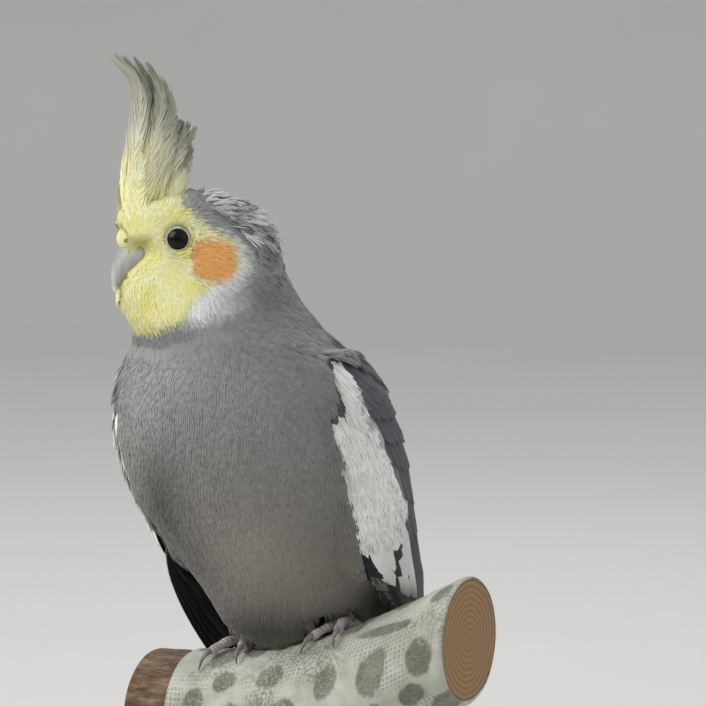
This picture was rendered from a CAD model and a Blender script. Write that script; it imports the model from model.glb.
# %% [markdown]
# # A perched cockatiel with its crest up
#
# The bird sits upright on a cut length of bandaged branch, its head turned to its right.
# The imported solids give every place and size. This script gives them their looks: one skin
# under thousands of feathers, a horn bill, wet eyes, scaly feet, the branch and its stand.
# Lengths are written in millimetres and turned into Blender's metres by MM.

import math

import bmesh
import bpy
import numpy as np
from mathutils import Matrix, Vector
from mathutils.bvhtree import BVHTree


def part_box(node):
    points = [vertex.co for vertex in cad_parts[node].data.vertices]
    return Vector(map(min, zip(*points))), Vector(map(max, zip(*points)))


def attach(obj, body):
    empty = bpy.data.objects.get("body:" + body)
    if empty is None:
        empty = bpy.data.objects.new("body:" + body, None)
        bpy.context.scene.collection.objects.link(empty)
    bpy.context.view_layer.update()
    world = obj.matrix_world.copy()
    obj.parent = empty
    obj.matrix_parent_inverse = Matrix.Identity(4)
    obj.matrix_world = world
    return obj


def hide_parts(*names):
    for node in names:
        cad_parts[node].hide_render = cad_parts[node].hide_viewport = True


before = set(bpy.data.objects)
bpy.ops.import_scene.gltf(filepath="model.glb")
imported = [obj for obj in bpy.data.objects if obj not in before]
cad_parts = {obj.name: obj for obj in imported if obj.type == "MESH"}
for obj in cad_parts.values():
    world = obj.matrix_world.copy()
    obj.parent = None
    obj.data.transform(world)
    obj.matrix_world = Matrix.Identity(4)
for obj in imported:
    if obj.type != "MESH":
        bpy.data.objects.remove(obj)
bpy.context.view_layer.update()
MM = 0.001
SEED = 48
HANDS = {"left": 1, "right": -1}  # the bird's two sides, and which way each one lies
chance = np.random.default_rng(SEED)
print("CAD nodes:", len(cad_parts))

# %% [markdown]
# ## Where things are
#
# The eyes' boxes tell where the head is and which way it looks: the line between the eyes is
# the head's left-right axis. Points on the head are then given as left, forwards and up, and
# points on the body from the top of the branch under the bird.


# %% Frames of the bird and its head
def node_centre(name):
    low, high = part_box(name)
    return np.array((low + high) / 2)


BIRD = np.array([0, -20, 150]) * MM  # top of the branch under the trunk
EYE_FORWARDS, EYE_UP = 7.9, 7.8  # of the eyes, from the head's centre
eye_places = {side: node_centre(f"eye_{side}") for side in HANDS}
UP = np.array([0.0, 0.0, 1.0])
head_left = eye_places["left"] - eye_places["right"]
head_left[2] = 0
head_left /= np.linalg.norm(head_left)
head_ahead = np.cross(head_left, UP)
HEAD = (eye_places["left"] + eye_places["right"]) / 2 - (
    head_ahead * EYE_FORWARDS + UP * EYE_UP
) * MM
print("head centre, mm:", np.round(HEAD / MM, 1), "looks along", np.round(head_ahead, 2))


def on_head(left, ahead, up):
    """A point of the head in metres, from its own left, forwards and up in millimetres."""
    left, ahead, up = (np.asarray(x, float)[..., None] for x in (left, ahead, up))
    return HEAD + (left * head_left + ahead * head_ahead + up * UP) * MM


def head_place(points):
    """Left, forwards and up of points, in millimetres from the head's centre."""
    away = (points - HEAD) / MM
    return away @ head_left, away @ head_ahead, away[..., 2]


def unit(vectors):
    return vectors / np.maximum(np.linalg.norm(vectors, axis=-1, keepdims=True), 1e-12)


def ease(x, low, high):
    """0 below low, 1 above high, and a soft step between them."""
    t = np.clip((x - low) / (high - low), 0, 1)
    return t * t * (3 - 2 * t)


# %% [markdown]
# ## Camera
#
# The photograph was taken from a little above and from the bird's left front, about 28 degrees
# round. The lens is long, so the sides of the bird stay nearly parallel.

# %% Camera
PIXEL = 0.28 * MM  # width of one pixel of the photograph at the bird
FRAME_PIXELS = 706
CAMERA_DISTANCE = 900 * MM
CAMERA_TURN, CAMERA_RISE = math.radians(28), math.radians(4)
AIM_RIGHT, AIM_UP = 21 * MM, 81.76 * MM  # what the picture's middle shows, from the bird's origin
SENSOR = 36  # millimetres, as the lens
SEEN_FROM, SEEN_TO = 0.05, 30  # metres

camera_right = np.array([math.cos(CAMERA_TURN), math.sin(CAMERA_TURN), 0])
camera_back = np.array([
    math.sin(CAMERA_TURN) * math.cos(CAMERA_RISE),
    -math.cos(CAMERA_TURN) * math.cos(CAMERA_RISE),
    math.sin(CAMERA_RISE),
])
aim = BIRD + camera_right * AIM_RIGHT + UP * AIM_UP
camera_data = bpy.data.cameras.new("camera")
camera_data.sensor_width = SENSOR
camera_data.lens = SENSOR * CAMERA_DISTANCE / (FRAME_PIXELS * PIXEL)
camera_data.clip_start, camera_data.clip_end = SEEN_FROM, SEEN_TO
camera = bpy.data.objects.new("camera", camera_data)
camera.location = aim + camera_back * CAMERA_DISTANCE
camera.rotation_euler = Vector(-camera_back).to_track_quat("-Z", "Y").to_euler()
bpy.context.scene.collection.objects.link(camera)
bpy.context.scene.camera = camera
print("lens", round(camera_data.lens, 1), "mm at", np.round(np.array(camera.location), 3))

# %% [markdown]
# ## Shader maths
#
# A material is a small graph of nodes. Written out as node calls it is hard to read, so a
# Value wraps a socket and lets plain arithmetic add the Math nodes, and a Paint makes every
# other node by one method.


# %% Values and paint
class Value:
    """A socket of a material, on which arithmetic adds Math nodes."""

    def __init__(self, paint, socket):
        self.paint, self.socket = paint, socket

    def maths(self, operation, *others):
        inputs = dict(enumerate((self, *others)))
        return self.paint.node("ShaderNodeMath", {"operation": operation}, inputs)

    def __add__(self, other):
        return self.maths("ADD", other)

    def __sub__(self, other):
        return self.maths("SUBTRACT", other)

    def __mul__(self, other):
        return self.maths("MULTIPLY", other)

    def __rsub__(self, other):
        return self.paint.node("ShaderNodeMath", {"operation": "SUBTRACT"}, {0: other, 1: self})

    __radd__ = __add__
    __rmul__ = __mul__

    def smooth(self, low, high):
        """0 below low, 1 above high, and a soft step between them."""
        settings = {"interpolation_type": "SMOOTHSTEP"}
        return self.paint.node("ShaderNodeMapRange", settings, {0: self, 1: low, 2: high})


class Paint:
    """A material under construction."""

    def __init__(self, name):
        self.material = bpy.data.materials.new(name)
        self.material.use_nodes = True
        self.tree = self.material.node_tree
        self.tree.nodes.clear()

    def plug(self, socket, value):
        if isinstance(value, Value):
            self.tree.links.new(value.socket, socket)
        elif value is not None:
            socket.default_value = value

    def node(self, kind, settings=None, inputs=None, output=0):
        """Adds one node: its settings first, then the values or links of its sockets."""
        made = self.tree.nodes.new(kind)
        for key, setting in (settings or {}).items():
            if key == "stops":
                ramp = made.color_ramp.elements
                while len(ramp) < len(setting):
                    ramp.new(0.5)
                for stop, (place, colour) in zip(ramp, setting):
                    stop.position, stop.color = place, colour
            else:
                setattr(made, key, setting)
        for key, value in (inputs or {}).items():
            self.plug(made.inputs[key], value)
        return Value(self, made.outputs[output]) if made.outputs else None

    def attribute(self, name, output="Fac"):
        return self.node("ShaderNodeAttribute", {"attribute_name": name}, output=output)

    def parts(self, vector):
        """The three numbers of a vector."""
        split = self.node("ShaderNodeSeparateXYZ", inputs={0: vector}).socket.node
        return [Value(self, socket) for socket in split.outputs]

    def place(self):
        """A point's place in the model, in metres."""
        return self.node("ShaderNodeTexCoord", output="Object")

    def noise(self, where, scale, detail, roughness=0.5):
        inputs = {"Vector": where, "Scale": scale, "Detail": detail, "Roughness": roughness}
        return self.node("ShaderNodeTexNoise", inputs=inputs)

    def mix(self, share, low, high, blend="MIX"):
        """Mixes two colours by a share from 0 to 1."""
        settings = {"data_type": "RGBA", "blend_type": blend}
        return self.node("ShaderNodeMix", settings, {0: share, 6: low, 7: high}, output=2)

    def stretched(self, where, scale):
        """Places scaled along each axis, which draws a pattern out."""
        settings = {"operation": "MULTIPLY"}
        return self.node("ShaderNodeVectorMath", settings, {0: where, 1: scale})

    def bump(self, height, distance, strength):
        inputs = {"Height": height, "Distance": distance, "Strength": strength}
        return self.node("ShaderNodeBump", inputs=inputs)

    def finish(self, **sockets):
        """Ends the material with one Principled shader whose sockets are named as in Blender."""
        inputs = {key.replace("_", " "): value for key, value in sockets.items()}
        shader = self.node("ShaderNodeBsdfPrincipled", inputs=inputs)
        self.node("ShaderNodeOutputMaterial", inputs={0: shader})
        return self.material


def colour(red, green, blue):
    """A colour seen on a screen, each part from 0 to 255, as Blender's linear light."""
    parts = np.array([red, green, blue]) / 255
    linear = np.where(parts <= 0.04045, parts / 12.92, ((parts + 0.055) / 1.055) ** 2.4)
    return (*linear.tolist(), 1.0)


# %% [markdown]
# ## The skin
#
# Trunk, neck, head and wings are separate solids with thin cuts between them. The living bird
# has one skin over all of them, so copies are joined, swelled a little to close the cuts and
# turned into one even mesh by a voxel remesh. The wings are copied only down to the branch,
# because below it they are nothing but feathers.


# %% Selecting, editing and applying
MERGE_GAP = 0.005 * MM  # corners nearer to each other than this are one


def only(*pieces):
    """Selects these objects and nothing else; the first of them is active."""
    if bpy.context.object and bpy.context.object.mode != "OBJECT":
        bpy.ops.object.mode_set(mode="OBJECT")
    bpy.ops.object.select_all(action="DESELECT")
    for piece in pieces:
        piece.select_set(True)
    if pieces:
        bpy.context.view_layer.objects.active = pieces[0]


def modify(piece, kind, **settings):
    """Adds a modifier with its settings and applies it."""
    only(piece)
    modifier = piece.modifiers.new(kind.lower(), kind)
    for key, setting in settings.items():
        setattr(modifier, key, setting)
    bpy.ops.object.modifier_apply(modifier=modifier.name)


def edit_all(piece, operator, **settings):
    """Runs one operator of edit mode on the whole of a mesh."""
    only(piece)
    bpy.ops.object.mode_set(mode="EDIT")
    bpy.ops.mesh.select_all(action="SELECT")
    operator(**settings)
    bpy.ops.object.mode_set(mode="OBJECT")


def copied(node):
    """A copy of a CAD node's mesh, its loose triangles merged into one closed surface."""
    piece = bpy.data.objects.new(f"{node}_copy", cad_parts[node].data.copy())
    bpy.context.scene.collection.objects.link(piece)
    edit_all(piece, bpy.ops.mesh.remove_doubles, threshold=MERGE_GAP)
    return piece


# %% One skin over trunk, neck, head and wings
WING_ROOT_LOW = 6  # the skin reaches this far down the wings, in the bird's frame
SWELLING, VOXEL, SMOOTHINGS = 0.3 * MM, 0.85 * MM, 26
wing_copies = [copied(f"wing_{side}") for side in HANDS]
for piece in wing_copies:
    edit_all(piece, bpy.ops.mesh.bisect, plane_co=(0, 0, BIRD[2] + WING_ROOT_LOW * MM),
             plane_no=(0, 0, 1), use_fill=True, clear_inner=True)
skin = copied("trunk")
only(skin, copied("neck"), copied("head"), *wing_copies)
bpy.ops.object.join()
skin.name = "skin"
modify(skin, "DISPLACE", strength=SWELLING, mid_level=0)
modify(skin, "REMESH", mode="VOXEL", voxel_size=VOXEL)
modify(skin, "SMOOTH", factor=0.5, iterations=SMOOTHINGS)
print("skin vertices:", len(skin.data.vertices))


# %% Reading a mesh
def mesh_points(piece):
    points = np.empty(len(piece.data.vertices) * 3)
    piece.data.vertices.foreach_get("co", points)
    return points.reshape(-1, 3)


def mesh_normals(piece):
    normals = np.empty(len(piece.data.vertices) * 3, np.float32)
    piece.data.vertex_normals.foreach_get("vector", normals)
    return normals.reshape(-1, 3).astype(float)


def tree_of(piece):
    """A search tree of a mesh's faces."""
    faces = [tuple(face.vertices) for face in piece.data.polygons]
    return BVHTree.FromPolygons(mesh_points(piece).tolist(), faces)


def nearest(tree, points):
    """For each point, the nearest place on a surface, its normal and its distance."""
    found = [tree.find_nearest(p) for p in points.reshape(-1, 3).tolist()]
    place = np.array([f[0] for f in found]).reshape(points.shape)
    normal = np.array([f[1] for f in found]).reshape(points.shape)
    return place, normal, np.array([f[3] for f in found]).reshape(points.shape[:-1])


wing_trees = {side: tree_of(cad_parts[f"wing_{side}"]) for side in HANDS}

# %% [markdown]
# ## The folded wings as a map
#
# Every wing feather is given by places on the folded wing: a height, and a share from the
# wing's front edge (0) to its edge along the back (1). Rays cast from outside onto the wing's
# solid turn that map into points, so that feathers hug the wing.


# %% Map of a folded wing
def wing_middle(height):
    """How far back the wing's round outline is centred at a height, in millimetres."""
    heights = (-58, -45, -25, -5, 14, 41, 60, 74, 84)
    backs = (59, 50, 36, 23, 11.5, -5, -13, -18.5, -21)
    return np.interp(height, heights, backs)


class FoldedWing:
    """Points of one wing's outer surface, by height in millimetres and share across it."""

    LOW, HIGH, LEVELS, SHARES = -55, 81, 69, 33
    TURNS = np.radians(np.arange(30, 180, 0.75))  # of the rays, from straight ahead
    START, REACH = 90, 88  # where a ray starts, and its length
    MARGIN = 0.02  # share of the wing's width left off at each edge

    def __init__(self, side):
        self.hand = HANDS[side]
        self.heights = np.linspace(self.LOW, self.HIGH, self.LEVELS)
        rows = [self.cast(wing_trees[side], height) for height in self.heights]
        self.grid = self.smoothed(np.array([points for points, _ in rows]))
        self.edges = np.array([turns for _, turns in rows])
        steps = np.linalg.norm(np.diff(self.grid, axis=1), axis=2)
        self.arc = steps.sum(1) / (1 - 2 * self.MARGIN) / MM  # millimetres across the wing
        down = np.gradient(self.grid, axis=0)
        across = np.gradient(self.grid, axis=1)
        self.normals = self.hand * unit(np.cross(across, down))

    def cast(self, tree, height):
        """Points across the wing at one height, and the turns of its two edges."""
        centre = BIRD + np.array([0, wing_middle(height), height]) * MM
        ways = np.stack(
            [self.hand * np.sin(self.TURNS), -np.cos(self.TURNS), np.zeros(len(self.TURNS))], 1
        )
        casts = [
            tree.ray_cast(Vector(centre + way * self.START * MM), Vector(-way), self.REACH * MM)[0]
            for way in ways
        ]
        met = [number for number, place in enumerate(casts) if place is not None]
        points = np.array([casts[number] for number in met])
        front, back = self.TURNS[met[0]], self.TURNS[met[-1]]
        share = (self.TURNS[met] - front) / (back - front)
        wanted = np.linspace(self.MARGIN, 1 - self.MARGIN, self.SHARES)
        across = np.stack([np.interp(wanted, share, points[:, k]) for k in range(3)], 1)
        return across, (front, back)

    @staticmethod
    def smoothed(grid, passes=6):
        """Evens out the facets of the solid."""
        for _ in range(passes):
            grid[1:-1] = (grid[:-2] + 2 * grid[1:-1] + grid[2:]) / 4
            grid[:, 1:-1] = (grid[:, :-2] + 2 * grid[:, 1:-1] + grid[:, 2:]) / 4
        return grid

    def at(self, height, share):
        """Points and normals at heights and shares; outside the map it goes on straight."""
        row = (np.asarray(height, float) - self.LOW) / (self.HIGH - self.LOW) * (self.LEVELS - 1)
        column = np.asarray(share, float) * (self.SHARES - 1)
        i = np.clip(np.floor(row).astype(int), 0, self.LEVELS - 2)
        j = np.clip(np.floor(column).astype(int), 0, self.SHARES - 2)
        v = (row - i)[..., None]
        u = (column - j)[..., None]

        def between(table, u, v):
            return (1 - v) * ((1 - u) * table[i, j] + u * table[i, j + 1]) + v * (
                (1 - u) * table[i + 1, j] + u * table[i + 1, j + 1]
            )

        near_u, near_v = np.clip(u, 0, 1), np.clip(v, 0, 1)
        return between(self.grid, u, v), unit(between(self.normals, near_u, near_v))

    def place(self, points):
        """Height and share of points on or near the wing."""
        away = (points - BIRD) / MM
        turn = np.arctan2(self.hand * away[..., 0], -(away[..., 1] - wing_middle(away[..., 2])))
        front = np.interp(away[..., 2], self.heights, self.edges[:, 0])
        back = np.interp(away[..., 2], self.heights, self.edges[:, 1])
        return away[..., 2], (turn - front) / (back - front)


wings = {side: FoldedWing(side) for side in HANDS}
print("left wing's middle, mm:", np.round(wings["left"].at(40, 0.5)[0] / MM, 1))

# %% [markdown]
# ## Helpers for firm parts
#
# Bill, toes and claws are tubes: a small filled circle is extruded once for every further
# ring and its points are laid on that ring. Base, lids and floor are turned shapes: a circle
# is extruded and widened along a profile.


# %% Tubes and turned shapes
def swept(name, rings):
    """A closed tube through rings of points in metres."""
    only()
    bpy.ops.mesh.primitive_circle_add(vertices=len(rings[0]), radius=MM, fill_type="NGON")
    piece = bpy.context.object
    piece.name = piece.data.name = name
    bpy.ops.object.mode_set(mode="EDIT")
    bpy.ops.mesh.select_mode(type="FACE")
    for number, ring in enumerate(rings):
        if number:
            bpy.ops.mesh.extrude_region_move()
        sheet = bmesh.from_edit_mesh(piece.data)
        end = next(face for face in sheet.faces if face.select)
        for corner, place in zip(end.verts, ring):
            corner.co = place
        bmesh.update_edit_mesh(piece.data)
    edit_all(piece, bpy.ops.mesh.normals_make_consistent, inside=False)
    return piece


def turned(name, profile, corners, filled=False):
    """A circle extruded along a profile of radius and height in metres."""
    only()
    (radius, height), *others = profile
    kind = "NGON" if filled else "NOTHING"
    bpy.ops.mesh.primitive_circle_add(vertices=corners, radius=radius, fill_type=kind)
    piece = bpy.context.object
    piece.name = piece.data.name = name
    bpy.ops.object.mode_set(mode="EDIT")
    bpy.ops.mesh.select_mode(type="VERT")
    bpy.ops.transform.translate(value=(0, 0, height))
    for wide, high in others:
        bpy.ops.mesh.extrude_region_move(TRANSFORM_OT_translate={"value": (0, 0, high - height)})
        grow_by = wide / radius
        bpy.ops.transform.resize(value=(grow_by, grow_by, 1), center_override=(0, 0, high))
        radius, height = wide, high
    edit_all(piece, bpy.ops.mesh.normals_make_consistent, inside=False)
    bpy.ops.object.shade_smooth()
    return piece


def round_turns(corners):
    """Angles of corners spaced evenly round a ring."""
    return np.arange(corners) * 2 * math.pi / corners


def upright(way, ahead):
    """A direction turned until it is square to another."""
    return unit(way - ahead * (way @ ahead))


def tube_rings(path, side, half_side, half_up, corners=12):
    """Rings round a path, upright to it; half widths and heights are in millimetres."""
    turn = round_turns(corners)[:, None]
    aheads = unit(np.gradient(path, axis=0))
    rings = []
    for centre, ahead, wide, high in zip(path, aheads, half_side, half_up):
        across = upright(side, ahead)
        up = np.cross(ahead, across)
        rings.append(centre + (np.cos(turn) * across * wide + np.sin(turn) * up * high) * MM)
    return rings


def finer(piece, levels=2):
    """Rounds a cage of a few faces and shades it smooth."""
    modify(piece, "SUBSURF", levels=levels, render_levels=levels)
    bpy.ops.object.shade_smooth()
    return piece


def reshape(piece, change):
    """Moves a mesh's points by a function of its points and normals."""
    points = change(mesh_points(piece), mesh_normals(piece))
    piece.data.vertices.foreach_set("co", points.astype(np.float32).ravel())
    piece.data.update()


def note(piece, name, values):
    """Writes a number, or a row of three, for every point of a mesh."""
    values = np.asarray(values, np.float32)
    kind, key = ("FLOAT_VECTOR", "vector") if values.ndim > 1 else ("FLOAT", "value")
    layer = piece.data.attributes.new(name, kind, "POINT")
    layer.data.foreach_set(key, values.ravel())


def dressed(piece, material, slot, *replaces):
    """Gives a finished piece its material, its body and its slot."""
    mesh = piece.data
    mesh.materials.clear()
    mesh.materials.append(material)
    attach(piece, "root")
    if replaces:
        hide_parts(*replaces)
    print(f"{piece.name}: {len(mesh.loops) - 2 * len(mesh.polygons)} triangles")


# %% [markdown]
# ## Bill and cere
#
# The upper bill is a strongly hooked tube that is widest at its root and ends in a pale tip.
# Its outline and its cutting edge are two curves, and each ring spans from one to the other.
# The small lower bill hides in the chin's feathers. Over the bill sits a fleshy saddle, the
# cere, with a nostril on each side.

# %% Upper and lower bill
BILL_CORNERS = 16
RIDGE = (  # forwards and up, from root to tip
    (15.0, 8.6), (19.4, 7.3), (21.9, 5.6), (23.3, 3.0),
    (24.3, -0.4), (24.5, -3.0), (24.1, -5.4), (23.5, -6.9),
)
CUTTING_EDGE = (
    (11.5, 0.5), (15.5, -2.4), (18.0, -3.2), (19.9, -3.6),
    (21.2, -4.3), (22.2, -5.4), (22.8, -6.2), (23.2, -6.9),
)
HALF_WIDTHS = (5.4, 5.1, 4.6, 4.0, 3.2, 2.3, 1.3, 0.35)
LOWER_RIDGE = ((11.5, -3.4), (16, -4.1), (19.2, -4.5), (21.2, -4.4))
LOWER_EDGE = ((10.5, -7.8), (15.2, -8.8), (18.6, -8.2), (20.8, -6.4))
LOWER_HALF_WIDTHS = (3.4, 3.5, 3.0, 1.8)


def bill_ring(ridge, edge, half):
    """One ring in the head's own middle plane, narrower towards its ridge."""
    turn = round_turns(BILL_CORNERS)
    middle, reach = (np.array(ridge) + edge) / 2, (np.array(ridge) - edge) / 2
    rise = np.sin(turn)
    wide = half * np.cos(turn) * (1 - 0.16 * rise)
    return on_head(wide, middle[0] + reach[0] * rise, middle[1] + reach[1] * rise)


def bill_half(name, ridges, edges, half_widths):
    """The upper or the lower bill, as a rounded tube."""
    rings = [bill_ring(*spans) for spans in zip(ridges, edges, half_widths)]
    return finer(swept(name, rings))


bill_upper = bill_half("upper_bill", RIDGE, CUTTING_EDGE, HALF_WIDTHS)
bill_lower = bill_half("lower_bill", LOWER_RIDGE, LOWER_EDGE, LOWER_HALF_WIDTHS)


def horn(name, dull, pale, tip):
    """Grey horn with fine growth lines, of the tip's colour where the note called pale says so."""
    paint = Paint(name)
    where = paint.place()
    share = paint.attribute("pale")
    streaks = paint.noise(paint.stretched(where, (1, 1, 0.25)), 900, 3)
    base = paint.mix(streaks.smooth(0.3, 0.7) * 0.6, dull, pale)
    base = paint.mix(share, base, tip)
    height = streaks * 0.5 + paint.noise(where, 2600, 2) * 0.3
    return paint.finish(Base_Color=base, Roughness=0.38, Specular_IOR_Level=0.45,
                        Coat_Weight=0.12, Coat_Roughness=0.3,
                        Normal=paint.bump(height, 0.08 * MM, 0.6))


bill_material = horn(
    "horn_of_bill", colour(150, 150, 148), colour(184, 183, 178), colour(228, 214, 206)
)
for piece, node in ((bill_upper, "bill_upper"), (bill_lower, "bill_lower")):
    _, ahead, up = head_place(mesh_points(piece))
    note(piece, "pale", 0.9 * ease(-up, 4.4, 6.2) + 0.35 * ease(ahead, 23.0, 24.4))
    dressed(piece, bill_material, "bill_horn", node)

# %% Cere with nostrils
CERE_MIDDLE = on_head(0, 17.5, 6.4)
NOSTRILS = [on_head(hand * 3.3, 20.8, 7.2) for hand in (-1, 1)]
only()
bpy.ops.mesh.primitive_uv_sphere_add(segments=96, ring_count=64, radius=MM)
cere = bpy.context.object
cere.name = "cere_saddle"


def cere_shape(points, _):
    """Draws a ball out to a saddle, with a rimmed nostril in each side."""
    left, ahead, up = (points / MM).T
    out = on_head(
        4.2 * left, 18.2 + 4.6 * ahead - 0.4 * np.abs(left), 8.4 + 4.0 * up - 0.6 * ahead
    )
    for nostril in NOSTRILS:
        gap = np.linalg.norm(out - nostril, axis=1, keepdims=True) / MM
        rim, pit = 0.22 * np.exp(-((gap - 0.8) ** 2) / 0.12), 1.2 * np.exp(-((gap / 0.46) ** 4))
        out = out + unit(nostril - CERE_MIDDLE) * (rim - pit) * MM
    return out


reshape(cere, cere_shape)
edit_all(cere, bpy.ops.mesh.normals_make_consistent, inside=False)
bpy.ops.object.shade_smooth()
nostril_gaps = [np.linalg.norm(mesh_points(cere) - nostril, axis=1) for nostril in NOSTRILS]
note(cere, "hollow", 1 - ease(np.min(nostril_gaps, 0) / MM, 0.36, 0.8))


def bare_skin(name, light, deep, groove, pebble=900, gloss=0.55, depth=0.1):
    """Soft bare skin with small pebbles, darker where the note called hollow says so."""
    paint = Paint(name)
    where = paint.place()
    cells = paint.node(
        "ShaderNodeTexVoronoi", {"feature": "SMOOTH_F1"}, {"Vector": where, "Scale": pebble}
    )
    patchy = paint.noise(where, 260, 3)
    base = paint.mix(patchy.smooth(0.3, 0.7), deep, light)
    base = paint.mix(paint.attribute("hollow"), base, groove)
    height = (1 - cells) * 0.7 + paint.noise(where, 2400, 2) * 0.4
    return paint.finish(Base_Color=base, Roughness=gloss, Specular_IOR_Level=0.35,
                        Subsurface_Weight=0.08, Subsurface_Radius=(0.002, 0.001, 0.0008),
                        Normal=paint.bump(height, depth * MM, 0.8))


cere_material = bare_skin(
    "skin_of_cere", colour(236, 232, 178), colour(222, 218, 156), colour(64, 54, 40)
)
dressed(cere, cere_material, "cere_skin", "cere")

# %% [markdown]
# ## Eyes
#
# A bird's eye shows hardly any white: a black, wet ball behind a round opening in bare, pale
# lids. The ball is a sphere as deep as the real one, and the lids are a turned ring whose
# rim lies on it.

# %% Eyes and lids
EYE_RADIUS = 3.6


def eye_finish():
    """Black and wet, with a dark brown iris round the pupil."""
    paint = Paint("wet_eye")
    ring = paint.attribute("iris")
    fibres = paint.noise(paint.place(), 1500, 3)
    base = paint.mix(ring * (0.6 + fibres * 0.5), colour(4, 4, 5), colour(26, 15, 10))
    return paint.finish(Base_Color=base, Roughness=0.03, Specular_IOR_Level=0.22)


def placed(piece, origin, outwards):
    """Lays a shape made round Z so that its Z points outwards from a place."""
    across = unit(np.cross(UP, outwards))
    turn = np.stack([across, np.cross(outwards, across), outwards], 1)
    reshape(piece, lambda points, normals: origin + points @ turn.T)


eye_material = eye_finish()
lid_material = bare_skin("skin_of_lids", colour(196, 192, 172), colour(150, 146, 132),
                         colour(84, 78, 70), 1500, 0.6, 0.09)
LID = (  # radius and height, from the outer edge to the inner
    (3.75, -0.6), (3.64, 0.5), (3.47, 1.3), (3.3, 1.85), (3.16, 2.17),
    (3.03, 2.37), (2.92, 2.46), (2.82, 2.42), (2.8, 2.2), (2.95, 1.8),
)
WRINKLES, WRINKLE_HEIGHT = 34, 0.07


def wrinkled(lid):
    """Raises fine wrinkles across a lid, and notes its dark rim and the grooves."""
    ring = mesh_points(lid) / MM
    radius, turn = np.hypot(ring[:, 0], ring[:, 1]), np.arctan2(ring[:, 1], ring[:, 0])
    wrinkle = np.sin(turn * WRINKLES + 2 * np.sin(turn * 5)) * ease(radius, 2.95, 3.5)
    raised = (WRINKLE_HEIGHT * wrinkle * MM)[:, None]
    reshape(lid, lambda points, normals: points + normals * raised)
    note(lid, "hollow", np.maximum(1 - ease(radius, 2.74, 2.92), 0.25 * (wrinkle < -0.4)))


for side, hand in HANDS.items():
    outwards = unit(head_left * hand + head_ahead * 0.2 + UP * 0.06)
    only()
    bpy.ops.mesh.primitive_uv_sphere_add(segments=64, ring_count=48, radius=EYE_RADIUS * MM)
    eye = bpy.context.object
    eye.name = f"eye_{side}_ball"
    bpy.ops.object.shade_smooth()
    ball = mesh_points(eye) / MM
    around = np.hypot(ball[:, 0], ball[:, 1])
    note(eye, "iris", ease(around, 1.5, 1.8) * (1 - ease(around, 2.5, 2.75)))
    placed(eye, eye_places[side], outwards)
    dressed(eye, eye_material, "eye_gloss", f"eye_{side}")
    lid = finer(turned(f"eyelids_{side}", [(r * MM, z * MM) for r, z in LID], 64), 1)
    wrinkled(lid)
    placed(lid, eye_places[side], outwards)
    dressed(lid, lid_material, "cere_skin")

# %% [markdown]
# ## How deep the coat is
#
# The solids show the bird's outline out to the tips of its feathers, so the skin lies inside
# them by the coat's depth: under a millimetre on the face, nearly two on the breast. The same
# step sinks the skin behind the bill, and shapes forehead, brows, cheeks and chin.

# %% Depth of the coat, and the skin's finer shape
FACE_DEPTH, CROWN_DEPTH, BODY_DEPTH, WING_DEPTH = 0.6, 1.1, 1.7, 1.0


def wing_nearness(points):
    """1 on a wing's surface, falling to 0 three millimetres away from it."""
    gaps = [nearest(tree, points)[2] for tree in wing_trees.values()]
    return 1 - ease(np.minimum(*gaps) / MM, 0.8, 3.2)


def coat_depth(points, on_wing):
    """Depth of the coat in millimetres at points of the outline."""
    left, ahead, up = head_place(points)
    face = ease(ahead, -6, 6) * ease(up, -22, -10)
    crown = ease(up, -14, 2)
    depth = BODY_DEPTH + (CROWN_DEPTH - BODY_DEPTH) * crown
    depth = depth + (FACE_DEPTH - depth) * face
    return depth + (WING_DEPTH - depth) * on_wing


outline = mesh_points(skin)
skin_wing = wing_nearness(outline)
skin_depth = coat_depth(outline, skin_wing)
skin_points = outline - mesh_normals(skin) * (skin_depth * MM)[:, None]
PUSHES = (  # left, forwards, up, radius, and how far out the skin is pushed, in millimetres
    (0, 20.5, 11.0, 5, 1.2),  # forehead
    (6.5, 17.5, -4.5, 4.5, 1.1),  # cheek beside the bill
    (8.5, 5, 14, 4.5, 0.5),  # brow
    (10.5, 12.5, 7, 4.0, -0.8),  # hollow before the eye
    (0, 21, -9, 3.5, 1.0),  # chin
    (0, 21, 9.6, 3.4, 0.6),  # over the cere
)
CHEEK_LINE = 18.6  # forwards plus up of the line where cheek feathers end on the bill's side
BEHIND_BILL = 3.6, 20.4  # half width and front of the sunk skin


def bill_room(ahead, up):
    """1 where the bill and cere come through the skin, and 0 elsewhere."""
    over_line = ease(ahead + up - CHEEK_LINE, -1.2, 0.6)
    return ease(ahead, 13.5, 16.5) * over_line * (1 - ease(up, 7.0, 8.6))


def head_shape(points):
    """Sinks the skin inside bill and cere, and raises forehead, cheeks and brows."""
    left, ahead, up = head_place(points)
    room = bill_room(ahead, up)
    half, front = BEHIND_BILL
    left = left + room * (np.sign(left) * np.minimum(np.abs(left), half) - left)
    ahead = ahead + room * (np.minimum(ahead, front) - ahead)
    out = on_head(left, ahead, up)
    for x, y, z, radius, push in PUSHES:
        for hand in (-1, 1) if x else (1,):
            gap = np.sqrt((left - hand * x) ** 2 + (ahead - y) ** 2 + (up - z) ** 2)
            way = unit(on_head(hand * x, y, z) - on_head(0, 6, 0))
            push_out = push * np.exp(-((gap / radius) ** 2)) * (1 - room)
            out = out + way * (push_out * MM)[:, None]
    return out


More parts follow.
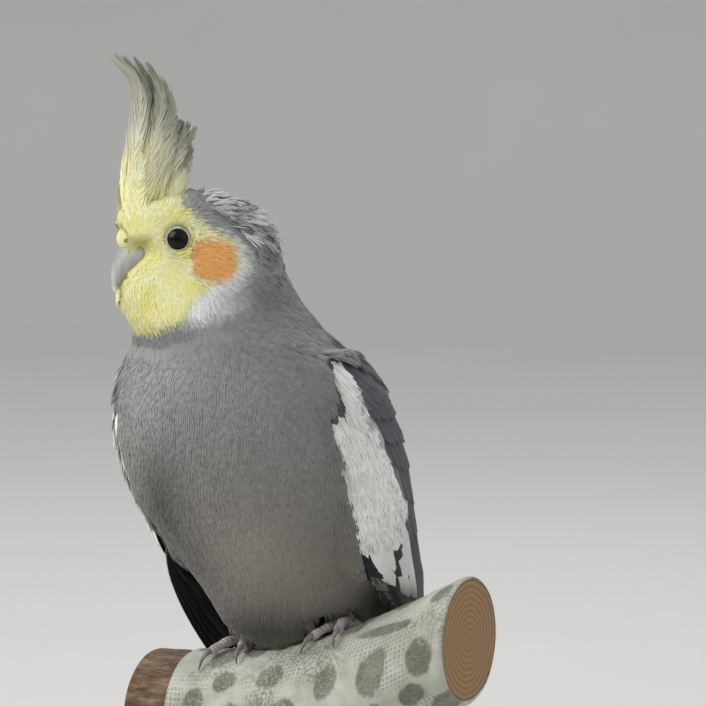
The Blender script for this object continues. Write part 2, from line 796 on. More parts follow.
on_the_head = ease(outline[:, 2], HEAD[2] - 20 * MM, HEAD[2] - 16 * MM)[:, None]
skin_points = skin_points + on_the_head * (head_shape(skin_points) - skin_points)
skin.data.vertices.foreach_set("co", skin_points.ravel())
skin.data.update()
modify(skin, "SMOOTH", factor=0.5, iterations=4)
bpy.ops.object.shade_smooth()
skin_points, skin_normals = mesh_points(skin), mesh_normals(skin)
skin_tree, perch_tree = tree_of(skin), tree_of(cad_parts["perch"])
print("coat's depth, mm:", skin_depth.min().round(2), "to", skin_depth.max().round(2))

# %% [markdown]
# ## Markings
#
# A grown male of the wild colour: a yellow face, a squarish orange cheek edged in white, a
# grey crown, nape and body, a white patch along the folded wing's front and near-black flight
# feathers. The markings are worked out from places on the head and wing. Skin and feathers
# both carry them as numbers on their vertices, so they always agree.


# %% Markings
CHEEK_PATCH = (-1.2, 6.0), (2.0, 5.6)  # forwards and up of its middle, each with half its size


def face_edge(up):
    """How far forwards the yellow of the face begins, by height on the head."""
    ups = (-19, -17, -14.5, -8, -4, 0, 7, 9, 11.5, 14, 17, 20)
    return np.interp(up, ups, (18, 13, 9.2, 4.8, -2.5, -8.6, -7.6, -3.5, 0.3, 3.4, 5.8, 7))


def white_patch(height, share):
    """How white the folded wing is at a height and share across it."""
    heights = (16, 22, 27, 31, 37, 42.5, 49, 55, 61, 66, 72, 77, 81)
    behind = np.interp(height, heights, (
        0.1, 0.16, 0.21, 0.27, 0.35, 0.37, 0.335, 0.28, 0.275, 0.25, 0.25, 0.28, 0.25
    ))
    front = np.interp(height, (66, 67.5, 69, 73.5, 77.7, 81), (-0.3, 0.03, 0.14, 0.15, 0.13, 0.1))
    inside = ease(behind - share, -0.02, 0.02) * ease(share - front, -0.02, 0.02)
    return inside * ease(height, 26, 31) * (1 - ease(height, 80.5, 82.5))


def wing_dark(height, share):
    """How dark the rest of the wing is: darkest below, with a paler patch over the white."""
    pale = np.exp(-(((height - 84.5) / 2.6) ** 2) - ((share - 0.14) / 0.1) ** 2)
    low = 1 - ease(height, 24, 30)
    return (0.87 + 0.22 * low - 0.25 * ease(share, 0.55, 0.95)) * (1 - 0.75 * pale)


def markings(points, on_wing, ragged=0.0):
    """Yellow, orange, white and dark at points, each from 0 to 1."""
    left, ahead, up = head_place(points)
    left = np.abs(left)
    shake = chance.normal(0, 1, (2, len(points))) * ragged
    ahead, up = ahead + shake[0], up + shake[1]
    head = ease(up, -24, -20) * ease(ahead, -30, -26)
    past = ahead - face_edge(up)
    blur = 1.4 + 1.3 * ease(up, 5, 12)
    yellow = ease(past, -blur, blur) * ease(up, -20.5, -15.8) * head
    (cheek_ahead, half_long), (cheek_up, half_high) = CHEEK_PATCH
    cheek = np.abs((ahead - cheek_ahead) / half_long) ** 3
    cheek = cheek + np.abs((up - cheek_up) / half_high) ** 3
    orange = (1 - ease(cheek, 0.3, 1.6)) * ease(left, 6, 9) * head
    wide = 4.0 + 12 * np.exp(-(((up + 10) / 6) ** 2))
    border = np.clip(1.1 + past / wide, 0, 1) * (1 - yellow)
    white = 0.85 * border * ease(up, -18, -12) * (1 - ease(up, 6, 12)) * head
    brow = np.exp(-(((ahead + 1.5) / 6) ** 2) - ((up - 9.2) / 2.4) ** 2)
    white = np.maximum(white, 0.62 * brow * yellow)
    lores = np.exp(-(((ahead - 15.0) / 4) ** 2) - ((up - 5.6 - 0.1 * (ahead - 15)) / 1.8) ** 2)
    under_eye = np.exp(-(((ahead - 8.5) / 4) ** 2) - ((up - 2.6) / 1.6) ** 2)
    throat = np.exp(-((past / 2.5) ** 2)) * (1 - ease(up, -16, -11))
    dark = head * (0.26 * lores + 0.14 * under_eye) * yellow + head * 0.3 * throat
    white = white * (1 - 0.6 * throat)
    for wing in wings.values():
        height, share = wing.place(points)
        own = on_wing * (points[:, 0] * wing.hand > 0)
        patch = white_patch(height, share) * own
        white = np.maximum(white, patch)
        dark = np.maximum(dark, own * (1 - patch) * wing_dark(height, share))
    return np.stack([yellow * (1 - orange), orange, white, dark], 1)


# %% [markdown]
# ## Plumage materials
#
# One material serves skin and coat. It mixes the plumage's colours by the markings, then each
# feather's own tone lightens or darkens it, and a feather is a little darker towards its
# root, where light hardly reaches. Feathers are matt with a faint sheen at grazing angles.

# %% Plumage material
GREY = colour(144, 144, 145)
WARM_GREY = colour(128, 124, 117)
WHITE = colour(246, 247, 243)
YELLOW = colour(236, 231, 146)
PALE_YELLOW = colour(238, 237, 200)
ORANGE = colour(238, 172, 100)
SLATE = colour(66, 68, 76)
BARB_SPACING, FLUFF_HEIGHT = 0.85, 0.12  # in millimetres


def plumage(name, sheen=0.25, barbs=False):
    """Feathers coloured by their marks; barbs are the fine slanting lines of a closed vane."""
    paint = Paint(name)
    yellow, orange, white = paint.parts(paint.attribute("marks", "Vector"))
    dark, tone, along = paint.parts(paint.attribute("feel", "Vector"))
    where = paint.place()
    height = paint.parts(where)[2]
    cloud = paint.noise(where, 45, 3)
    warmth = (1 - height.smooth(0.17, 0.235)) * (0.5 + cloud)
    base = paint.mix(warmth, GREY, WARM_GREY)
    base = paint.mix(white, base, WHITE)
    pale = paint.noise(where, 160, 2).smooth(0.3, 0.75)
    base = paint.mix(yellow, base, paint.mix(pale * 0.75, YELLOW, PALE_YELLOW))
    base = paint.mix(orange, base, ORANGE)
    base = paint.mix(dark, base, SLATE)
    light = tone * (0.86 + along * 0.17) * (0.84 + cloud * 0.32)
    grey = paint.node("ShaderNodeCombineXYZ", inputs={0: light, 1: light, 2: light})
    base = paint.mix(1.0, base, grey, "MULTIPLY")
    height = paint.noise(where, 1400, 2)
    if barbs:
        across, down, _ = paint.parts(paint.attribute("vane", "Vector"))
        line = (down - across.maths("ABSOLUTE") * 1.1) * (2 * math.pi / BARB_SPACING)
        height = line.maths("SINE") * 0.35 + height * 0.5
    return paint.finish(
        Base_Color=base,
        Roughness=0.62 if barbs else 0.82,
        Sheen_Weight=sheen,
        Sheen_Roughness=0.45,
        Specular_IOR_Level=0.3 if barbs else 0.2,
        Normal=paint.bump(height, FLUFF_HEIGHT * MM, 0.6),
    )


coat_material = plumage("plumage")
flight_material = plumage("flight_plumage", 0.12, barbs=True)
print("materials:", [m.name for m in bpy.data.materials if m.users])

# %% [markdown]
# ## An unwrap of the skin
#
# When the looks are baked, every tuft needs its own small patch of the picture, at the place
# of its root on the unwrapped skin. The skin is nearly a tube round the bird's own axis, so it
# is unrolled round that axis, with the length along its profile as the other direction, so
# that crown and belly are not squeezed.

# %% Unwrap of the skin's own shape
PATCH = 0.003  # across one tuft's patch
EDGE = 0.01  # left free round the unwrap
SLICES = 59  # of the skin, by height
levels = np.linspace(skin_points[:, 2].min(), skin_points[:, 2].max(), SLICES + 1)
slice_of = np.clip(np.digitize(skin_points[:, 2], levels) - 1, 0, SLICES - 1)
slices = [skin_points[slice_of == number, :2] for number in range(SLICES)]
axis = np.array([(part.min(0) + part.max(0)) / 2 for part in slices])
girth = np.array([np.ptp(part, axis=0).mean() / 2 for part in slices])
middles = (levels[1:] + levels[:-1]) / 2
run = np.concatenate([[0], np.cumsum(np.hypot(np.diff(girth), np.diff(middles)))])
print("along the skin's profile, mm:", round(run[-1] / MM, 1))


def unwrap(points):
    """Place of points on the unrolled skin, each number from 0 to 1."""
    height = points[..., 2]
    away_x = points[..., 0] - np.interp(height, middles, axis[:, 0])
    away_y = points[..., 1] - np.interp(height, middles, axis[:, 1])
    turn = np.arctan2(away_x, -away_y) / (2 * math.pi) + 0.5
    length = np.interp(height, middles, run) / run[-1]
    return np.stack([EDGE + (1 - 2 * EDGE) * turn, EDGE + (1 - 2 * EDGE) * length], -1)


def patches(roots, shape):
    """Each feather's own patch of the unwrap, round the place of its root."""
    corner = np.stack([shape[:, 0] / 2, shape[:, 1] - 0.5], 1)
    return unwrap(roots)[:, None] + np.clip(corner, -0.5, 0.5) * PATCH


# %% [markdown]
# ## Building a coat from arrays
#
# Tens of thousands of feathers can't be placed by hand. One template feather is a few points
# given as across, along and raised, and NumPy bends it over the skin at every root at once.
# All feathers of a region end up in one mesh.


# %% One mesh from many feathers
class Coat:
    """Collects feathers of any shape and makes one mesh of them."""

    def __init__(self):
        self.places, self.faces, self.maps, self.normals = [], [], [], []
        self.fields = {"marks": [], "feel": [], "vane": []}
        self.count = 0  # vertices so far
        self.strip = 0  # strips of the unwrap that long feathers have used

    def add(self, places, faces, maps, marks, feel, vane=None, normals=None):
        """Adds feathers, each a row of values for its vertices. faces are those of one."""
        if vane is None:
            vane = np.zeros_like(places)
        firsts = self.count + np.arange(len(places)) * places.shape[1]
        self.places.append(places.reshape(-1, 3))
        self.faces.append((faces + firsts[:, None, None]).reshape(-1, 3))
        self.maps.append(maps.reshape(-1, 2))
        for key, rows in (("marks", marks), ("feel", feel), ("vane", vane)):
            self.fields[key].append(rows.reshape(-1, 3))
        if normals is not None:
            self.normals.append(normals.reshape(-1, 3))
        self.count += len(self.places[-1])

    def build(self, name, material, slot, *replaces):
        """Makes the mesh, with its unwrap, its fields and its shading."""
        mesh = bpy.data.meshes.new(name)
        piece = bpy.data.objects.new(name, mesh)
        bpy.context.scene.collection.objects.link(piece)
        places, faces = np.concatenate(self.places), np.concatenate(self.faces)
        mesh.vertices.add(len(places))
        mesh.vertices.foreach_set("co", places.astype(np.float32).ravel())
        mesh.loops.add(faces.size)
        mesh.loops.foreach_set("vertex_index", faces.astype(np.int32).ravel())
        mesh.polygons.add(len(faces))
        mesh.polygons.foreach_set("loop_start", np.arange(0, faces.size, 3, dtype=np.int32))
        mesh.update(calc_edges=True)
        mesh.shade_smooth()
        flat = np.concatenate(self.maps)[faces.ravel()]
        mesh.uv_layers.new(name="OFBake").uv.foreach_set("vector", flat.astype(np.float32).ravel())
        for key, rows in self.fields.items():
            note(piece, key, np.concatenate(rows))
        if self.normals:
            mesh.normals_split_custom_set_from_vertices(np.concatenate(self.normals))
        dressed(piece, material, slot, *replaces)


# %% [markdown]
# ## Feather templates
#
# A soft body feather is a fan of loose blades from one root, because its fringed tip is what
# shows. A covert is one rounded vane with a raised middle. Both are flat lists of points:
# across from -1 to 1, along from 0 to 1, and raised.


# %% Templates
# Faces of a blade of seven points: three pairs and a tip
BLADE_FACES = np.array([(0, 1, 3), (0, 3, 2), (2, 3, 5), (2, 5, 4), (4, 5, 6)])
BLADE_PARTS = ((0.0, 0.25, 0.75), (0.42, 0.72, 1.0), (0.78, 0.94, 0.7))  # along, spread, width
DROOP = 0.16  # how much shorter a tuft's outermost blades are


def fan(blades, spread=1.0):
    """A tuft of narrow blades that part towards their tips."""
    points, faces = [], []
    half = 1.25 / blades
    for number in range(blades):
        aside = 2 * number / (blades - 1) - 1
        faces += (BLADE_FACES + len(points)).tolist()
        for along, part, wide in BLADE_PARTS:
            for edge in (-1, 1):
                across = spread * aside * part + edge * half * wide
                points.append((across, along, -0.12 * aside**2 * part))
        points.append((spread * aside * 1.04, 1 - DROOP * aside**2, -0.14 * aside**2))
    return np.array(points), np.array(faces), np.repeat(np.arange(blades), 7)


def rounded_vane(columns, rows, tip):
    """A single rounded vane. tip is where it begins to close."""
    root, arch = 0.3, 0.16  # width at the root, and height of the middle, as shares of the width
    points, faces = [], []
    sides = np.linspace(-1, 1, columns)
    for along in 1 - (1 - np.linspace(0, 0.985, rows)[:-1]) ** 1.7:
        wide = root + (1 - root) * math.sin(min(along / tip, 1) * math.pi / 2)
        close = max(along - tip, 0) / (1 - tip)
        wide *= math.sqrt(max(1 - close**2, 0))
        for side in sides:
            raised = arch * (1 - side**2) - arch
            points.append((side * wide, along - 0.05 * along * side**2, raised))
    points.append((0, 1, -0.05))
    for row in range(rows - 2):
        for column in range(columns - 1):
            a = row * columns + column
            faces += [(a, a + 1, a + columns + 1), (a, a + columns + 1, a + columns)]
    last = (rows - 2) * columns
    faces += [(last + c, last + c + 1, len(points) - 1) for c in range(columns - 1)]
    return np.array(points), np.array(faces), np.zeros(len(points), int)


# %% Bending feathers over the skin
STATIONS = np.array([0, 0.35, 0.7, 1.0])  # places along a feather where it is held to the skin
RISE = np.array([-0.06, 0.5, 0.84, 1.0])  # and how much of its lift it has at each of them
SHOWN_AT = 0.7  # the part of its length at which a feather shows, and takes its colour from


def through_stations(along):
    """Weights that pass a smooth curve through the four stations, and those of its slope."""
    weights, slopes = [], []
    for k, own in enumerate(STATIONS):
        rest = np.delete(STATIONS, k)
        cubic = np.poly(rest) / np.prod(own - rest)
        weights.append(np.polyval(cubic, along))
        slopes.append(np.polyval(np.polyder(cubic), along))
    return np.array(weights).T, np.array(slopes).T


def pushed_out(points, tree, gap):
    """Moves points that are inside a closed surface to just outside it."""
    place, normal, distance = nearest(tree, points)
    inside = np.einsum("...i,...i", points - place, normal) < gap
    close = inside & (distance < 9 * MM)
    return np.where(close[..., None], place + normal * gap, points)


def clear_of_branch(points):
    """Keeps points near the branch out of it."""
    flat = points.reshape(-1, 3)
    low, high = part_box("perch")
    near = np.all((flat > np.array(low) - MM) & (flat < np.array(high) + MM), axis=1)
    flat = flat.copy()
    if near.any():
        flat[near] = pushed_out(flat[near], perch_tree, 0.25 * MM)
    return flat.reshape(points.shape)


def grow(coat, template, roots, lie, length, width, lift, on_wing, ruffle, loose, soft,
         ragged=0.5, marks=None, tone=1.0):
    """Adds a feather at every root. lie is its direction, and lift its tip's height over the
    skin; lengths, widths and lifts are in millimetres. ruffle makes feathers unlike each other,
    loose parts their blades, and soft is how far they are shaded like the skin under them."""
    shape, faces, blades = template
    places, normals = roots
    count = len(places)
    if not count:
        return
    length, width, lift = (np.broadcast_to(x, count) * MM for x in (length, width, lift))
    length = length * chance.uniform(1 - ruffle, 1 + ruffle, count)
    lift = lift * chance.uniform(1 - ruffle, 1 + ruffle, count)
    aim = places[:, None] + lie[:, None] * (length[:, None] * STATIONS)[..., None]
    held, facing, gap = nearest(skin_tree, aim)
    free = (gap > 3 * MM)[..., None]
    held = np.where(free, aim, held)
    facing = np.where(free, normals[:, None], facing)
    facing = unit(facing + 0.6 * normals[:, None])
    spine = held + facing * (lift[:, None] * RISE)[..., None]
    weights, slopes = through_stations(shape[:, 1])
    centre = np.einsum("vk,nkd->nvd", weights, spine)
    ahead = unit(np.einsum("vk,nkd->nvd", slopes, spine))
    up = unit(np.einsum("vk,nkd->nvd", weights, facing))
    roll = chance.normal(0, ruffle, (count, 1, 1))
    side = unit(np.cross(ahead, up))
    up = np.cross(side, ahead)
    side = side * np.cos(roll) + up * np.sin(roll)
    blade_count = blades.max() + 1
    sway = chance.normal(0, loose, (count, blade_count))[:, blades]
    reach = 1 - chance.uniform(0, loose * 1.6, (count, blade_count))[:, blades]
    across = shape[:, 0] + sway * shape[:, 1] ** 2
    centre = centre[:, :1] + (centre - centre[:, :1]) * reach[..., None]
    out = (
        centre
        + side * (across * width[:, None] / 2)[..., None]
        + up * (shape[:, 2] * width[:, None])[..., None]
    )
    out = clear_of_branch(out)
    if marks is None:
        marks = markings(places + lie * (length * SHOWN_AT)[:, None], on_wing, ragged)
    own_tone = tone * chance.normal(1, 0.025, (count, 1))
    own_tone = own_tone * chance.normal(1, 0.03, (count, blade_count))[:, blades]
    feel = np.stack([
        np.broadcast_to(marks[:, 3:4], own_tone.shape),
        own_tone,
        np.broadcast_to(shape[:, 1], own_tone.shape),
    ], -1)
    shade = unit(soft * np.einsum("vk,nkd->nvd", weights, facing) + (1 - soft) * up)
    marks = np.repeat(marks[:, None, :3], len(shape), 1)
    coat.add(out, faces, patches(places, shape), marks, feel, normals=shade)


# %% [markdown]
# ## Where the feathers stand
#
# Roots are scattered on the skin at random, but no closer than a chosen spacing, as feathers
# grow in evenly spaced tracts. Body feathers point from neck to tail. Those of the head point
# away from the bill.

# %% Roots and their lie
skin.data.calc_loop_triangles()
triangles = np.empty(len(skin.data.loop_triangles) * 3, np.int32)
skin.data.loop_triangles.foreach_get("vertices", triangles)
triangles = triangles.reshape(-1, 3)
corners = skin_points[triangles]
sides = corners[:, 1:] - corners[:, :1]
areas = np.linalg.norm(np.cross(sides[:, 0], sides[:, 1]), axis=1) / 2
TAILWARDS = unit(np.array([0.0, 0.5, -0.87]))
BILL_ROOT = on_head(0, 18, 3)
TRIES = 6  # places tried for every root that would fit


def far_apart(points, spacing):
    """Keeps points, first come first served, that are at least spacing from all kept ones."""
    cells, kept = {}, []
    keys = np.floor(points / spacing).astype(int)
    steps = [(a, b, c) for a in (-1, 0, 1) for b in (-1, 0, 1) for c in (-1, 0, 1)]
    for i, (key, point) in enumerate(zip(keys.tolist(), points.tolist())):
        x, y, z = key
        near = (cells.get((x + a, y + b, z + c)) for a, b, c in steps)
        if all(
            other is None
            or (other[0] - point[0]) ** 2 + (other[1] - point[1]) ** 2 + (other[2] - point[2]) ** 2
            > spacing**2
            for other in near
        ):
            cells[x, y, z] = point
            kept.append(i)
    return np.array(kept)


def roots_where(wanted, spacing):
    """Roots on the triangles that are wanted, about spacing apart in millimetres."""
    chosen = np.flatnonzero(wanted)
    amount = int(TRIES * areas[chosen].sum() / (spacing * MM) ** 2)
    pick = chance.choice(chosen, amount, p=areas[chosen] / areas[chosen].sum())
    weights = chance.dirichlet((1, 1, 1), amount)
    places = np.einsum("nk,nkd->nd", weights, corners[pick])
    kept = far_apart(places, spacing * MM)
    pick, weights, places = pick[kept], weights[kept], places[kept]
    normals = unit(np.einsum("nk,nkd->nd", weights, skin_normals[triangles[pick]]))
    on_wing = np.einsum("nk,nk->n", weights, skin_wing[triangles[pick]])
    return places, normals, on_wing


def crest_side(left, ahead, up):
    """1 round the crest's root, where feathers turn up into it, and 0 elsewhere."""
    near = ease(ahead, 1, 6) * ease(up, 9.5, 14)
    return near * (1 - ease(np.abs(left), 7, 10))


def lie_of(places, normals, stray):
    """Which way feathers point along the skin, each straying a little."""
    left, ahead, up = head_place(places)
    on_top = ease(up, -20, -6)[:, None]
    from_bill = unit(places - BILL_ROOT) - (0.25 + 0.9 * ease(-up, 2, 9))[:, None] * UP
    way = (1 - on_top) * TAILWARDS + on_top * unit(from_bill)
    to_crest = crest_side(left, ahead, up)[:, None]
    up_crest = UP - 0.3 * head_ahead - 0.1 * left[:, None] * head_left
    way = (1 - to_crest) * way + to_crest * up_crest
    way = way + chance.normal(0, stray, way.shape)
    return unit(way - normals * np.einsum("nd,nd->n", way, normals)[:, None])


def kept(mask, *rows):
    """The rows of several arrays where a mask is true."""
    return [x[mask] for x in rows]


def wing_share(points):
    """How far across the wing of their own side points are."""
    shares = (wing.place(points)[1] for wing in wings.values())
    return np.where(points[:, 0] > 0, *shares)


middle_of = corners.mean(1)
_, tri_ahead, tri_up = head_place(middle_of)
tri_wing, tri_share = skin_wing[triangles].mean(1), wing_share(middle_of)
tri_height = (middle_of[:, 2] - BIRD[2]) / MM
tri_face = np.sqrt(
    ease(tri_ahead - face_edge(tri_up), -7, -4) * ease(tri_up, -20.5, -19.5)
)
print("skin area, cm2:", round(areas.sum() * 1e4, 1))

# %% [markdown]
# ## Body feathers
#
# Neck, breast, belly and flanks look like grey plush: fringed tufts, close together, each
# lying on the next. They are longest on the belly. They are made in bands by height, so that
# no mesh gets too heavy.

# %% Sizes and shades of body feathers
def body_sizes(places):
    """Length and width of body feathers by height, in millimetres."""
    height = (places[:, 2] - BIRD[2]) / MM
    heights = (-6, 8, 30, 60, 84, 96, 110)
    length = np.interp(height, heights, (9, 9, 8.5, 7.8, 6.2, 5, 4.6))
    width = np.interp(height, heights, (2.8, 2.6, 2.4, 2.3, 2.1, 1.9, 1.8))
    return length, width


SHADES = (  # darker and paler places: across the front, height, radius of both, and how much
    (-31.5, 41, 6, 17, -0.55), (-24, 20, 7, 14, -0.45), (-8, 30, 14, 13, 0.42),
    (-36, 69, 9, 13, 0.3), (-3.5, 5, 18, 8, -0.72), (-28, 82, 10, 8, 0.3), (-1, 98, 6, 6, -0.26),
    (18, 55, 9, 28, -0.12), (-6, 110, 5, 6, -0.28), (-14, 89, 9, 4, 0.14),
)


def shade_of(points):
    """Lightness of breast and belly, from those places."""
    away = (points - BIRD) / MM
    across, height = away @ camera_right, away[:, 2]
    front = ease(away @ camera_back + wing_middle(height) * math.cos(CAMERA_TURN), -5, 10)
    return 1 + front * sum(
        much * np.exp(-(((across - x) / wide) ** 2) - ((height - z) / high) ** 2)
        for x, z, wide, high, much in SHADES
    )


HUMP = (17, 87, 7, 5.0)  # across and height of its middle, its radius and its depth


def hump(points):
    """How far feathers are fluffed up where the neck meets the left shoulder, in millimetres."""
    across, height, radius, depth = HUMP
    away = (points - BIRD) / MM
    gap = ((away @ camera_right - across) / radius) ** 2 + ((away[:, 2] - height) / radius) ** 2
    return depth * np.exp(-gap) * ease(-away @ camera_back, -32, -18)


# %% How far body feathers reach over the wings
BREAST_REACH = (  # heights, and how far across the wing breast feathers reach there
    (12, 20, 27, 29, 36, 45, 56, 61.5, 66, 67.5, 73.5, 78, 81, 85),
    (0.0, -0.01, 0.015, 0.04, 0.045, 0.04, 0.045, 0.03, 0.02, 0.08, 0.11, 0.1, 0.1, 0.2),
)
SHOULDER_REACH = (  # shares across the wing, and the height down to which the shoulder's reach
    (0.1, 0.3, 0.6, 0.8, 1.0),
    (83.5, 81.5, 76.5, 69, 60),
)
RIGHT_LESS = 0.06  # how much less breast feathers reach over the right wing


def over_wing(tips):
    """Which feathers would reach too far over a folded wing, by where their tips are."""
    over = np.zeros(len(tips), bool)
    for wing in wings.values():
        height, share = wing.place(tips)
        front = np.interp(height, *BREAST_REACH) - RIGHT_LESS * (wing.hand < 0)
        own = (share > front) & (share < 0.97) & (height < np.interp(share, *SHOULDER_REACH))
        over |= own & (tips[:, 0] * wing.hand > 0)
    return over & (wing_nearness(tips) > 0.2)


# %% Neck, breast, belly and back
BODY_BANDS = {"belly": (-20, 10), "flanks": (10, 30), "lower_breast": (30, 50),
              "breast": (50, 70), "neck": (70, 92), "nape": (92, 135)}
BODY_SPACING, LEG_GAP, SKIN_GAP = 0.76, 1.6, 2.8  # SKIN_GAP is the most that a tip stands off
leg_trees = [tree_of(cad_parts[f"leg_{side}"]) for side in HANDS]
for band, (low, high) in BODY_BANDS.items():
    inside = (tri_height > low) & (tri_height <= high) & (tri_face < 0.5)
    inside &= (tri_wing < 0.55) | (tri_height > 62) | (tri_share < 0.2)
    places, normals, on_wing = roots_where(inside, BODY_SPACING)
    lie, (length, width) = lie_of(places, normals, 0.06), body_sizes(places)
    tips = places + lie * (0.9 * MM * length)[:, None]
    clear = np.min([nearest(tree, places)[2] for tree in leg_trees], 0) > LEG_GAP * MM
    clear &= ~over_wing(tips) & (nearest(skin_tree, tips)[2] < SKIN_GAP * MM)
    places, normals, on_wing, lie = kept(clear, places, normals, on_wing, lie)
    length, width = kept(clear, length, width)
    mantle = ease(wing_share(places), 0.3, 0.5)
    lift = 0.6 * coat_depth(places, 0) + (1.3 - mantle) * on_wing + hump(places)
    shade = shade_of(places + lie * (SHOWN_AT * MM * length)[:, None])
    coat = Coat()
    grow(coat, fan(5), (places, normals), lie, length, 1.15 * width, lift, on_wing * mantle,
         ruffle=0.045, loose=0.05, soft=0.95, tone=shade[:, None])
    coat.build(f"feathers_{band}", coat_material, "body_plumage")

# %% [markdown]
# ## Face feathers
#
# The face is covered in the smallest feathers of all, hardly two millimetres long. They lie
# back from the bill, and fluff out over the bill's sides.

# %% Face
FACE_SPACING, EYE_GAP = 0.46, 3.15
face = (tri_face >= 0.5) & (tri_wing < 0.5)
places, normals, on_wing = roots_where(face, FACE_SPACING)
eye_gap = np.min([np.linalg.norm(places - eye, axis=1) for eye in eye_places.values()], 0) / MM
left, ahead, up = head_place(places)
clear = (eye_gap > EYE_GAP) & (bill_room(ahead, up) < 0.7)
places, normals, on_wing, left, ahead, up = kept(clear, places, normals, on_wing, left, ahead, up)
cheek = ease(-ahead, -9, 2) * ease(np.abs(left), 6, 11)
by_bill = ease(ahead, 13, 19) * (1 - ease(up, 1, 6)) * ease(up, -9, -5)
rising = crest_side(left, ahead, up)
near_eye = 1 - ease(eye_gap[clear], 4, 6)
over_cere = ease(ahead, 14.5, 18) * (1 - ease(up, 9, 14)) * (up > 4)
length = 2.7 + 1.6 * cheek + 1.5 * ease(-up, 4, 12) + 0.9 * by_bill + 1.5 * rising
length = length * (1 - 0.4 * over_cere) - 0.7 * near_eye
width = 1.05 + 0.35 * cheek - 0.3 * near_eye
lift = (0.36 + 0.4 * by_bill + 1.2 * rising) * (1 - 0.6 * over_cere) + 0.4 * near_eye
coat = Coat()
grow(coat, fan(3, 0.9), (places, normals), lie_of(places, normals, 0.07), length, width, lift,
     on_wing * 0, ruffle=0.06, loose=0.05, soft=0.97, ragged=0.6)
coat.build("feathers_face", coat_material, "face_plumage")

# %% Ruffled crown and nape
CROWN_SPACING = 1.4
crown = (tri_ahead < 5) & (tri_ahead > -26) & (tri_up > -3) & (tri_face < 0.7)
places, normals, on_wing = roots_where(crown, CROWN_SPACING)
high = ease(head_place(places)[2], 2, 13)
marks = markings(places, on_wing * 0, 1.2)
marks[:, 2] = np.maximum(marks[:, 2] * high, chance.uniform(0, 0.9, len(places)) * high)
coat = Coat()
grow(coat, fan(5), (places, normals), lie_of(places, normals, 0.3), 4.5 + 2.8 * high, 1.7,
     0.9 + 1.7 * high, on_wing * 0, ruffle=0.34, loose=0.34, soft=0.92, marks=marks,
     tone=chance.uniform(0.9, 1.15, (len(places), 1)))
coat.build("feathers_crown_ruffle", coat_material, "face_plumage")

# %% Skin's own markings and material
SKIN_TONE = 0.9
skin_marks = markings(skin_points, skin_wing)
tone, root = np.full(len(skin_marks), SKIN_TONE), np.zeros(len(skin_marks))
note(skin, "marks", skin_marks[:, :3])
note(skin, "feel", np.stack([skin_marks[:, 3], tone, root], 1))
dressed(skin, coat_material, "body_plumage", "trunk", "neck", "head")

# %% [markdown]
# ## Crest
#
# The crest's feathers are long and wispy: from each slim quill grow loose strands that run on
# along it. Close together at the root they make one smooth plume, and only their tips part.
# Each strand is a ribbon of five triangles that follows the quill's curve.


# %% Crest
def smooth_path(knots, share):
    """Points of a smooth curve through knots, at shares of its way from 0 to 1."""
    last = knots.shape[-2] - 1
    ends = [2 * knots[..., :1, :] - knots[..., 1:2, :], knots,
            2 * knots[..., -1:, :] - knots[..., -2:-1, :]]
    line = np.concatenate(ends, -2)
    x = np.clip(share, 0, 1) * last
    i = np.minimum(np.floor(x).astype(int), last - 1)
    f = (x - i)[..., None]
    a, b, c, d = (line[..., i + k, :] for k in range(4))
    return 0.5 * (
        2 * b + (c - a) * f + (2 * a - 5 * b + 4 * c - d) * f**2 + (3 * b - a - 3 * c + d) * f**3
    )


CREST_ORDER = (0, 0.14, 0.34, 0.5, 0.65, 0.82, 1.0)  # front to back
CREST_LINES = np.array([  # forwards and up of six places from root to tip
    [(20.0, 9), (20.2, 22.5), (17.6, 32.5), (16.6, 42.5), (17.6, 50.5), (24.1, 57.6)],
    [(19.0, 11), (18.6, 23), (15.6, 33.5), (13.6, 42), (13.6, 49.5), (17.6, 57.1)],
    [(17.5, 12), (16.4, 24.5), (13.2, 34.5), (10.6, 42), (10.2, 47.5), (12.6, 53.1)],
    [(15.0, 13), (13.4, 24.5), (10.4, 33), (8.4, 38.5), (7.6, 43), (9.6, 47.6)],
    [(12.5, 14), (11.0, 23.5), (8.8, 30.5), (7.2, 35), (6.6, 38), (7.0, 40)],
    [(9.5, 14.5), (8.4, 22.5), (6.4, 28.5), (4.8, 33), (3.8, 36.5), (3.0, 39.4)],
    [(6.0, 15), (5.6, 21), (4.6, 25), (3.6, 28), (2.6, 30), (1.8, 31.8)],
])
CREST_FEATHERS, SHORT_ONES = 48, 40
STRANDS = 42  # on each side of a quill
STRAND_LENGTH, STRAND_SPREAD, STRAND_HALF_WIDTH = 0.3, 2.4, 0.2  # the first a share of the quill


def in_pairs(rows):
    """Values at four places along a ribbon, twice for its two edges and once for its tip."""
    return np.concatenate([np.repeat(rows[:, :3], 2, 1), rows[:, 3:]], 1)


